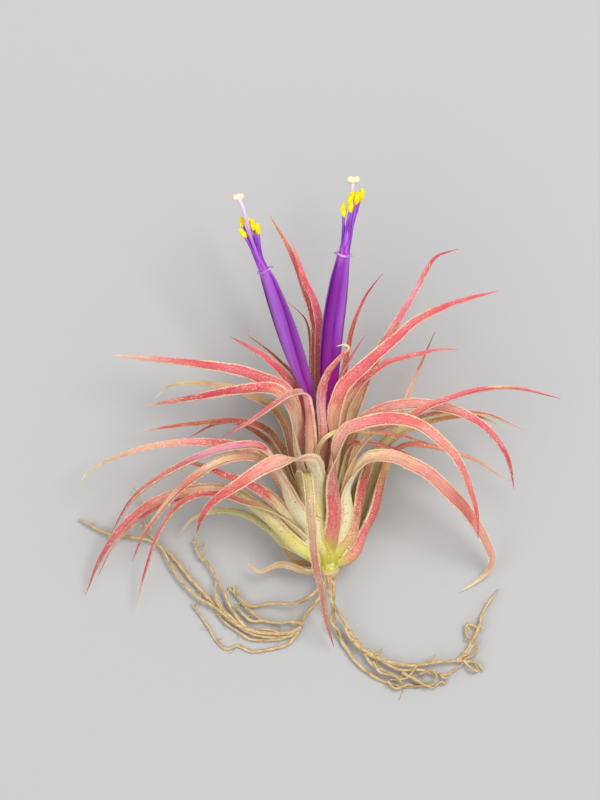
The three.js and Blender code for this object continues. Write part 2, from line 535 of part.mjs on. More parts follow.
// A closed skin over rings of points. Each ring has an even number of points: the first half runs
// along its upper side and the second half back along its lower side.
function loft(rings) {
  const sides = rings[0].length;
  const half = sides / 2;
  const position = rings.flat().flatMap((point) => point.toArray());
  const index = [];
  for (let i = 0; i + 1 < rings.length; i += 1) {
    for (let j = 0; j < sides; j += 1) {
      const a = i * sides + j;
      const b = i * sides + ((j + 1) % sides);
      const c = b + sides;
      const d = a + sides;
      if (j < half) index.push(a, b, c, a, c, d);
      else index.push(a, b, d, b, c, d);
    }
  }
  const last = (rings.length - 1) * sides;
  for (let j = 0; j + 1 < half; j += 1) {
    const [a, b, c, d] = [j, j + 1, sides - 2 - j, sides - 1 - j];
    index.push(a, c, b, a, d, c);
    index.push(last + a, last + b, last + c, last + a, last + c, last + d);
  }
  const geometry = new THREE.BufferGeometry();
  geometry.setAttribute('position', new THREE.Float32BufferAttribute(position, 3));
  geometry.setIndex(index);
  return toSolid(geometry);
}

// Points, tangents and an upper side carried along a curve without twisting. step: how far along
// the list of the curve's own points. share: how far along its length. Both go from 0 to 1.
function framesAlong(curve, count, firstUpper) {
  const upper = firstUpper.clone();
  const frames = [];
  let length = 0;
  for (let i = 0; i < count; i += 1) {
    const step = i / (count - 1);
    const point = curve.getPoint(step);
    const tangent = curve.getTangent(step);
    if (i > 0) length += point.distanceTo(frames[i - 1].point);
    upper.addScaledVector(tangent, -upper.dot(tangent)).normalize();
    frames.push({ step, length, point, tangent, upper: upper.clone() });
  }
  return frames.map((frame) => ({ ...frame, share: frame.length / length }));
}

function curveThrough(points) {
  const places = points.map(([x, y, z]) => new THREE.Vector3(x, y, z));
  return new THREE.CatmullRomCurve3(places, false, 'centripetal');
}

// A round or petalled tube. radii: radius at each point, spread evenly by point number. turn and
// twist: the degrees that its sides are turned at its start, and further by its end.
function tube(points, radii, sides, count, shape = () => 1, turn = 0, twist = 0) {
  const rings = framesAlong(curveThrough(points), count, TUBE_UPPER).map((frame) => {
    const place = frame.step * (radii.length - 1);
    const low = Math.min(Math.floor(place), radii.length - 2);
    const radius = THREE.MathUtils.lerp(radii[low], radii[low + 1], place - low);
    const across = new THREE.Vector3().crossVectors(frame.tangent, frame.upper);
    return Array.from({ length: sides }, (_, j) => {
      const angle = THREE.MathUtils.degToRad(turn + twist * frame.share - (360 * j) / sides);
      return frame.point.clone()
        .addScaledVector(across, radius * shape(j) * Math.cos(angle))
        .addScaledVector(frame.upper, radius * shape(j) * Math.sin(angle));
    });
  });
  return loft(rings);
}

// Petals rolled over each other: each one stands a step proud of the next.
function petalled(j) {
  const each = TUBE_SIDES / PETALS;
  return 1 - PETAL_STEP / 2 + (PETAL_STEP * (j % each)) / (each - 1);
}

// ---- stem ----

const stemAxis = STEM_TIP.clone().sub(NECK).normalize();
const stemUp = UP.clone().addScaledVector(stemAxis, -UP.dot(stemAxis)).normalize();
const stemRight = new THREE.Vector3().crossVectors(stemAxis, stemUp);

function aroundStem(degrees) {
  const angle = THREE.MathUtils.degToRad(degrees);
  return stemUp.clone().multiplyScalar(Math.cos(angle)).addScaledVector(stemRight, Math.sin(angle));
}

function makeStem(grow) {
  const rings = STEM_PROFILE.map(([height, radius]) => Array.from({ length: STEM_SIDES }, (_, j) => (
    NECK.clone()
      .addScaledVector(stemAxis, height)
      .addScaledVector(aroundStem((360 * j) / STEM_SIDES), radius + grow)
  )));
  return loft(rings);
}

// ---- leaves ----

function leafWidth(share, leaf) {
  const narrowing = Math.min(1, (1 - share) / leaf.taper) ** TAPER_POWER;
  const sheath = 1 + (leaf.sheath ?? SHEATH_WIDENING) * Math.max(0, 1 - share / SHEATH_END);
  return Math.max(TIP_WIDTH, leaf.width * narrowing * sheath);
}

function makeLeaf(leaf, grow) {
  const outwards = aroundStem(leaf.around);
  const base = NECK.clone()
    .addScaledVector(stemAxis, leaf.height)
    .addScaledVector(outwards, BASE_REACH);
  const curve = curveThrough([base.toArray(), ...leaf.points]);
  const count = Math.max(leaf.points.length + 1, MIN_LEAF_SECTIONS);
  const opening = leaf.opening ?? OPENING;
  const rings = framesAlong(curve, count, outwards.clone().negate()).map((frame) => {
    const skyward = UP.clone().addScaledVector(frame.tangent, -UP.dot(frame.tangent)).normalize();
    const turned = (leaf.open ?? 0) * THREE.MathUtils.smoothstep(frame.share, ...opening);
    const upper = frame.upper.clone()
      .multiplyScalar(1 - Math.abs(turned))
      .addScaledVector(skyward, turned)
      .normalize();
    const across = new THREE.Vector3().crossVectors(frame.tangent, upper);
    const width = leafWidth(frame.share, leaf);
    const keel = -width * CHANNEL;
    const at = (sideways, up) => frame.point.clone()
      .addScaledVector(across, sideways)
      .addScaledVector(upper, up);
    const edge = width / 2 + grow;
    const half = BLADE / 2 + grow;
    return [
      at(-edge, half), at(0, keel + half), at(edge, half),
      at(edge, -half), at(0, keel - half), at(-edge, -half),
    ];
  });
  return loft(rings);
}

// ---- roots ----

function makeRoots(strands) {
  return join(strands.map(([radius, ...points]) => (
    tube(points, [radius, radius, radius * ROOT_THINNING], ROOT_SIDES, points.length)
  )));
}

// ---- flowers ----

function mouthOf(flower) {
  const [before, end] = flower.tube.slice(-2).map(([x, y, z]) => new THREE.Vector3(x, y, z));
  const outwards = end.clone().sub(before).normalize();
  const side = UP.clone().addScaledVector(outwards, -UP.dot(outwards)).normalize();
  const across = new THREE.Vector3().crossVectors(outwards, side);
  const radial = (k, count) => {
    const angle = (2 * Math.PI * k) / count;
    return side.clone().multiplyScalar(Math.cos(angle)).addScaledVector(across, Math.sin(angle));
  };
  return { end, outwards, radial };
}

function makeCollar(flower, grow) {
  const { end, outwards } = mouthOf(flower);
  const low = end.clone().addScaledVector(outwards, -COLLAR.depth - grow);
  const high = end.clone().addScaledVector(outwards, COLLAR.rise + grow * 4);
  const radius = COLLAR.radius * flower.bundle + grow;
  return tube([low.toArray(), high.toArray()], [radius, radius], COLLAR.sides, 2);
}

function makeRolledPetals(flower, grow) {
  const radii = flower.tube.map(([, , , radius]) => radius + grow);
  const count = flower.tube.length;
  return tube(flower.tube, radii, TUBE_SIDES, count, petalled, flower.turn, flower.twist);
}

function makeCorolla(flower) {
  const { end, outwards, radial } = mouthOf(flower);
  const rim = flower.tube.at(-1)[3];
  const lips = Array.from({ length: PETALS }, (_, k) => {
    const points = LIP.map(({ along, out }) => end.clone()
      .addScaledVector(outwards, along)
      .addScaledVector(radial(k + 0.5, PETALS), rim + out)
      .toArray());
    return tube(points, LIP.map(({ radius }) => radius), LIP_SIDES, LIP.length);
  });
  return join([makeRolledPetals(flower, 0), ...lips]).subtract(makeCollar(flower, GAP));
}

function makeStamens(flower) {
  const { end, outwards, radial } = mouthOf(flower);
  const radius = FILAMENT.radius * flower.bundle;
  const filaments = flower.anthers.map(([x, y, z], k) => {
    const foot = end.clone()
      .addScaledVector(outwards, -FILAMENT.depth)
      .addScaledVector(radial(k + 0.5, flower.anthers.length), FILAMENT.circle * flower.bundle);
    const rise = foot.clone().addScaledVector(outwards, FILAMENT.straight);
    const points = [foot.toArray(), rise.toArray(), [x, y, z]];
    return tube(points, [radius, radius], FILAMENT.sides, FILAMENT.sections);
  });
  const [thick, length] = flower.antherSize;
  const anthers = flower.anthers.map(([x, y, z, lean]) => {
    const angle = THREE.MathUtils.degToRad(lean);
    const ahead = new THREE.Vector3(Math.sin(angle), Math.cos(angle), ANTHER.rise).normalize();
    const points = [-1, -0.5, 0.5, 1].map((share) => (
      new THREE.Vector3(x, y, z).addScaledVector(ahead, share * length).toArray()
    ));
    const radii = [thick * ANTHER.ends, thick, thick, thick * ANTHER.ends];
    return tube(points, radii, ANTHER.sides, points.length);
  });
  return join([makeCollar(flower, 0), ...filaments, ...anthers]);
}

function makePistil(flower) {
  const { end, outwards } = mouthOf(flower);
  const foot = end.clone().addScaledVector(outwards, COLLAR.rise + GAP);
  const rise = end.clone().addScaledVector(outwards, STYLE.straight);
  const points = [foot.toArray(), rise.toArray(), ...flower.style];
  const radii = [STYLE.foot * flower.bundle, STYLE.foot, STYLE.radius, STYLE.radius];
  const style = tube(points, radii, STYLE.sides, STYLE.sections);
  const [x, y, z] = flower.style.at(-1);
  const size = flower.stigma;
  const lobes = flower.lobes.map((ahead, k) => {
    const lobe = new THREE.SphereGeometry(size * LOBE.radius, LOBE.sides, LOBE.rows);
    return toSolid(lobe.translate(x + (k - 1) * size * LOBE.apart, y + size * ahead, z));
  });
  return join([style, ...lobes]);
}

// ---- the plant ----

const ground = toSolid(new THREE.BoxGeometry(GROUND, GROUND, GROUND).translate(0, 0, -GROUND / 2));
const plant = new THREE.Group();
const placed = [];

function addMesh(name, colour, roughness, solid) {
  const material = new THREE.MeshStandardMaterial({
    color: COLOURS[colour], roughness, metalness: 0,
  });
  const mesh = new THREE.Mesh(toGeometry(solid), material);
  mesh.name = name;
  plant.add(mesh);
}

// A piece cut clear of the pieces before it and of the surface, and kept as one body. clearance:
// the same piece with a gap round it, which later pieces keep out of.
function cutClear(solid, clearance) {
  const box = solid.boundingBox();
  const touches = (other) => [0, 1, 2].every((axis) => (
    box.min[axis] < other.box.max[axis] && box.max[axis] > other.box.min[axis]
  ));
  let kept = solid;
  for (const other of placed.filter(touches)) kept = kept.subtract(other.clearance);
  if (box.min[2] < 0) kept = kept.subtract(ground);
  placed.push({ clearance, box: clearance.boundingBox() });
  return largestBody(kept);
}

addMesh('stem', 'stem', LEAF_ROUGHNESS, cutClear(makeStem(0), makeStem(GAP)));
for (const [name, flower] of Object.entries(FLOWERS)) {
  const wide = makeRolledPetals(flower, GAP + PETAL_CLEARANCE);
  const corolla = cutClear(makeCorolla(flower), wide);
  addMesh(`${name}_corolla`, 'violet', FLOWER_ROUGHNESS, corolla);
  addMesh(`${name}_stamens`, 'filament', FLOWER_ROUGHNESS, makeStamens(flower));
  addMesh(`${name}_pistil`, 'style', FLOWER_ROUGHNESS, makePistil(flower));
}
for (const [name, leaf] of Object.entries(LEAVES)) {
  const blade = cutClear(makeLeaf(leaf, 0), makeLeaf(leaf, GAP));
  addMesh(name, leaf.colour, LEAF_ROUGHNESS, blade);
}
for (const [name, strands] of Object.entries(ROOT_BUNCHES)) {
  const wide = strands.map(([radius, ...points]) => [radius + GAP, ...points]);
  addMesh(name, 'root', LEAF_ROUGHNESS, cutClear(makeRoots(strands), makeRoots(wide)));
}

export default plant;
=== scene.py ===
"""An air plant in bloom, lying on its side: a rosette of channelled leaves, two violet flowers with
yellow anthers, and two bunches of roots. Sizes are in millimetres until a mesh is made."""

import json
import math

import bpy
import numpy as np
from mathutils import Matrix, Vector


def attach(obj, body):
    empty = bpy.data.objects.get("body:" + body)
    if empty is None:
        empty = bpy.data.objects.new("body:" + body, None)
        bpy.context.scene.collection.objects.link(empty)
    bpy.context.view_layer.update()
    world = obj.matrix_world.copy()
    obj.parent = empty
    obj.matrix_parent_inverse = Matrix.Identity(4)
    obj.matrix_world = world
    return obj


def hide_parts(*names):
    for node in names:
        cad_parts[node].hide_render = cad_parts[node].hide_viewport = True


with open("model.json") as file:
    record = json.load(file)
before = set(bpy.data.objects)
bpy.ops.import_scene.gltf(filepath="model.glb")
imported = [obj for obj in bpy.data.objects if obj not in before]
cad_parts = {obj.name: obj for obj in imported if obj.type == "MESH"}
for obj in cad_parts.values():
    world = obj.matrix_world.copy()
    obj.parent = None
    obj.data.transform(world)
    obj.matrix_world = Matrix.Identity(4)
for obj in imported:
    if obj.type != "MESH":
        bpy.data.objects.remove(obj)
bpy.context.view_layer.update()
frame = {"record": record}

MM = 0.001
UP = np.array((0.0, 0.0, 1.0))
# A side for round strands to start from: nearly up, and along none of them.
TUBE_UPPER = np.array((0.13, 0.07, 1.0))
# The wavelength along which a strand is uneven, and how far round it its material's noise runs.
TUBE_WAVE = 2.4
TUBE_ROUND = 6

# The stem runs from the neck, where the roots leave, to the tip, where the flowers leave.
NECK = np.array((2.75, -35.5, 9.0))
STEM_TIP = np.array((-0.1, -5.0, 20.5))
# Height above the neck and radius there: neck, bulb, then a slim flowering shoot.
STEM_PROFILE = [
    (-1, 1.2), (0, 1.7), (2, 2.6), (4.5, 3.4), (7.5, 3.5), (11, 3.0), (15, 2.3), (20, 1.6),
    (26, 1.2), (32, 0.9),
]
STEM_SIDES = 40
STEM_STEP = 0.35
# How far round it its material's noise runs.
STEM_ROUND = 20
# How uneven the stem is, as a wavelength up it and a share of its radius, and over how many of its
# sides a bulge runs.
STEM_WAVE = (4, 0.05)
STEM_BULGE = 4
# Rings left by old leaves: their spacing up the stem and how far they stand out.
SCAR_SPACING = 1.1
SCAR_DEPTH = 0.04
# Old leaf bases that clasp the bulb, each a turn and a rise on from the last, and the dry stubs
# that hang from the neck. spread: half the angle that one covers. flare: how far its tip stands out.
BRACTS = 4
BRACT_TURN = 137.5
BRACT_START = 0.5
BRACT_RISE = 0.55
BRACT = {"length": (3.0, 6.0), "spread": 62, "flare": 0.3}
STUBS = 7
STUB = {"start": (0.4, 1.2), "length": (1.2, 2.6), "spread": 32, "flare": 0.7}
# What both share: thickness, distance from the stem, half the angle of the tip, the share of the
# length that narrows towards it, and how much closer than the middle the margins hug the stem.
BRACT_THICKNESS = 0.3
BRACT_CLEARANCE = 0.1
BRACT_TIP = 2
BRACT_TAPER = 0.7
BRACT_HUG = 0.6
# How far a degree round the stem is for its material's noise.
BRACT_ROUND = 0.06
# How one sways sideways, in degrees, and in and out: wavelength, for a length of 6, and amount.
BRACT_LENGTH = 6
BRACT_SWAY = (3, 3)
BRACT_FLUTTER = (2, 0.06)
BRACT_ROWS = 20
BRACT_COLUMNS = 13

# Leaves: thickness, how deep the channel is against the width and how it curves, how the width
# tapers, its least, and how far from the stem's middle a leaf starts.
BLADE = 0.7
CHANNEL = 0.24
CHANNEL_POWER = 1.6
TAPER_POWER = 0.7
TIP_WIDTH = 0.16
BASE_REACH = 1.0
# How much wider the sheath is at the base, where a leaf doesn't give its own, and the share of the
# length where it ends.
SHEATH_WIDENING = 0.35
SHEATH_END = 0.4
# The usual shares of the length between which a leaf turns towards the sky.
OPENING = (0.05, 0.5)
# How far apart the rows of the mesh are, and the points across each face.
LEAF_STEP = 0.4
LEAF_COLUMNS = 13
# Share of the blade's thickness that is left at its margins, how it gets there across the blade,
# and the width below which the whole blade thins.
MARGIN_THICKNESS = 0.3
MARGIN_POWER = 4
THINNING_WIDTH = 1.3
# How uneven a leaf is: pairs of wavelength and amount for its margins, and one for its channel.
MARGIN_WAVES = ((9, 0.035), (2.2, 0.02))
CHANNEL_WAVE = (14, 0.15)
# The base clasps the stem: up to the first share of the length, in full below the second, and this
# much wider.
CLASP_END = 0.2
CLASP_FULL = 0.02
CLASP_WIDTH = 0.2
# The lower leaves run on down the bulb to just above the neck. The lowest lie outermost, and they
# narrow to this share of their width.
TAIL_LIMIT = 12
TAIL_FOOT = 1.0
TAIL_WIDTH = 0.5
TAIL_LIFT = 0.05
TAIL_LAYER = 0.055
# The very base is rounded off over this share of the length.
BASE_ROUNDING = 0.05
# Scales on the margins. density: how many per millimetre could stand there. share: of those, how
# many do. patches: the wavelength and the amount by which that varies. foot and inset: how far back
# a scale's foot reaches, and where that lies across the leaf. full_width: the leaf's width from
# which they are at full length. ahead and up: how far they lean that way, against outwards. start:
# how far from the leaf's lowest end they begin.
FRINGE = {
    "density": 3.6, "share": 0.5, "patches": (3, 0.8), "length": (0.12, 0.5), "foot": 0.14,
    "inset": 0.97, "full_width": 2.4, "ahead": (0.3, 1.4), "up": (-0.5, 0.7), "start": 0.5,
}
# Scales on both faces. density: how many per square millimetre could lie there. share: of those,
# how many do, and more: how many are added at the margins. width: half of it, and ahead: how far
# the tip lies ahead, both against the length. slant: how far they turn aside, at most. sink and
# lift: how deep the foot and how high the tip is. thicken: the shares of the leaf's length between
# which they come in. reach: how near to the margins they come.
FLECK = {
    "density": 3.2, "share": 0.2, "more": 0.25, "patches": (5, 0.7), "length": (0.14, 0.42),
    "width": 0.22, "ahead": 0.7, "slant": 0.4, "sink": 0.05, "lift": 0.07, "thicken": (-0.1, 0.4),
    "reach": 0.95,
}

# Flowers: three petals rolled into a tube. Over its width each one rises by a step, as a share of
# the tube's radius, so that it lies on its neighbour.
PETALS = 3
PETAL_STEP = 0.12
PETAL_THICKNESS = 0.22
# How far a petal runs on beneath its neighbour, as a share of its own width.
PETAL_OVERLAP = 0.35
PETAL_COLUMNS = 20
PETAL_SPACING = 0.7
# How far across it its material's noise runs.
PETAL_ACROSS = 5
# The rim bends back: along the tube from the mouth, and out from the tube there. It is ruffled, so
# it reaches least between the petals' tips, and it is half as thick as the rest.
RIM = [(0.2, 0.03), (0.42, 0.14), (0.56, 0.36), (0.54, 0.66), (0.34, 0.94), (0.02, 1.1)]
RIM_LEAST = 0.15
# Share of a petal's colours that is left for its rim.
RIM_SHARE = 0.03
# The stamens: a collar that fills the mouth, and filaments that rise from a circle in it. radii: at
# a filament's foot, bend and anther.
STAMENS = 6
STRAND_SPACING = 0.5
COLLAR = {"radius": 1.25, "narrowing": 0.8, "depth": 3.5, "rise": 0.2, "sides": 16, "roughness": 0.03}
FILAMENT = {
    "radii": (0.598, 0.46, 0.322), "circle": 0.85, "depth": 0.4, "straight": 4.0, "sides": 10,
    "roughness": 0.05,
}
# rise: how much an anther rises over its length. groove: how deep its lengthwise grooves are.
# bumps: how uneven it is.
ANTHER = {"rise": 0.2, "groove": 0.3, "rows": 22, "sides": 24, "bumps": 0.07}
# The style starts ahead of the mouth, runs straight on with some lift, and ends in three lobes.
STYLE = {
    "radii": (0.368, 0.46, 0.46), "start": 0.9, "straight": 4.0, "lift": 1.1, "sides": 10,
    "roughness": 0.04,
}
# axes and apart: half axes of a lobe and the distance between two, as shares of the stigma's size.
LOBE = {"axes": (0.56, 0.62, 0.55), "apart": 0.55, "rows": 14, "sides": 18, "bumps": 0.12}
# tube: middle line of the rolled petals from base to mouth, with the radius there. turn: where a
# petal's edge lies round the base of the tube, in degrees from the +X side up. twist: how far it
# has turned at the mouth. Then the painted highlight: where a pale lilac highlight is painted
# along a petal, as shares of the way across it, how far it reaches to both sides, how strong it
# is, and the share of the length where it starts. bundle: how wide the stamens' circle is against
# the usual. anthers: their middles, and how far they lean towards +X, in degrees. anther_size:
# half thickness and half length. style: its middle line beyond the mouth. stigma: its size.
# lobes: how far ahead of the style each lobe is.
FLOWERS = {
    "flower_right": {
        "tube": [
            (1.2, -3.8, 21.6, 0.9), (1.7, 2, 23.8, 1.4), (2.2, 8.3, 26.3, 2.1), (2.6, 18.3, 30, 2.6),
            (3, 23.3, 31.8, 2.7), (3.5, 28.3, 33.3, 2.75), (4.2, 33.3, 34.7, 2.65),
            (4.9, 38.3, 36, 2.3), (5.5, 42, 37, 1.85), (5.9, 44.3, 37.5, 1.65),
        ],
        "turn": 165,
        "twist": -10,
        "bloom": (0.86, 0.34, 0.72, 0.35),
        "bundle": 1.0,
        "anthers": [
            (7.7, 58.7, 43.2, 22), (9.2, 58.6, 42.2, 10), (10.3, 59.3, 40.6, 12),
            (8.2, 57.4, 38.2, 5), (5.9, 55.6, 41, -4), (7.6, 56.7, 42.6, 0),
        ],
        "anther_size": (0.72, 1.8),
        "style": [(7.8, 55.3, 40), (8.1, 60.8, 40.6), (8.3, 62.9, 41)],
        "stigma": 1.5,
        "lobes": (0.2, 0.05, 0.2),
    },
    "flower_left": {
        "tube": [
            (-1.3, -3.8, 20.8, 0.8), (-1.9, 2, 22.6, 1.1), (-2.9, 10.3, 25.5, 1.6),
            (-4.3, 14, 26.7, 1.95), (-5.8, 18.3, 28.3, 2.35), (-7.5, 23.3, 30, 2.5),
            (-9.2, 28.3, 31.6, 2.45), (-11, 33.3, 33, 2.2), (-12.9, 38.3, 34.2, 1.75),
            (-13.8, 40.3, 34.6, 1.4),
        ],
        "turn": 112,
        "twist": -57,
        "bloom": (0.55, 0.6, 0.88, 0.05),
        "bundle": 0.85,
        "anthers": [
            (-16.8, 51.9, 39.4, -8), (-15.5, 50.9, 39.4, -6), (-16.3, 50.3, 38.2, 0),
            (-17.5, 52.4, 37.6, -10), (-19.5, 52.6, 37.9, 0), (-19.2, 49.8, 39.2, -38),
        ],
        "anther_size": (0.7, 1.45),
        "style": [(-17, 48.1, 38.7), (-18.2, 52.6, 40.6), (-19.5, 57, 40.4), (-20.4, 58.7, 40)],
        "stigma": 1.35,
        "lobes": (0, 0.25, 0.2),
    },
}

# Roots: how thick a strand is just before its tip and at it, against its start.
ROOT_SIDES = 9
ROOT_STEP = 0.55
ROOT_ROUGHNESS = 0.16
ROOT_THINNING = 0.75
ROOT_END = 0.35
TWIG_STEP = 0.3
TWIG_ROUGHNESS = 0.25
# Side rootlets. spacing: between two on a strand. radii: from start to end. lowest: how far above
# the surface they stay.
ROOTLET = {
    "spacing": 5.5, "length": (0.8, 2.6), "radii": (0.16, 0.12, 0.06), "lowest": 0.25, "sides": 5,
    "step": 0.4, "roughness": 0.2,
}

# Colours as they look in daylight, in red, green and blue from 0 to 255.
PALETTE = {
    "white": (250, 244, 226),
    "cream": (250, 230, 184),
    "ivory": (253, 247, 196),
    "lime": (232, 228, 108),
    "bulb": (206, 200, 52),
    "moss": (198, 204, 128),
    "sage": (234, 222, 158),
    "olive": (198, 184, 112),
    "straw": (236, 212, 156),
    "ochre": (226, 166, 92),
    "tan": (222, 186, 138),
    "beige": (236, 208, 166),
    "sand": (246, 220, 180),
    "peach": (242, 180, 150),
    "blush": (240, 154, 146),
    "lilac": (240, 156, 184),
    "salmon": (234, 110, 102),
    "coral": (228, 98, 88),
    "pink": (234, 102, 120),
    "rose": (226, 74, 98),
    "hot": (232, 58, 92),
    "crimson": (204, 34, 64),
    "brick": (190, 54, 58),
    "rust": (206, 104, 74),
    "clay": (212, 140, 120),
    "brown": (172, 116, 84),
    "maroon": (126, 62, 48),
}

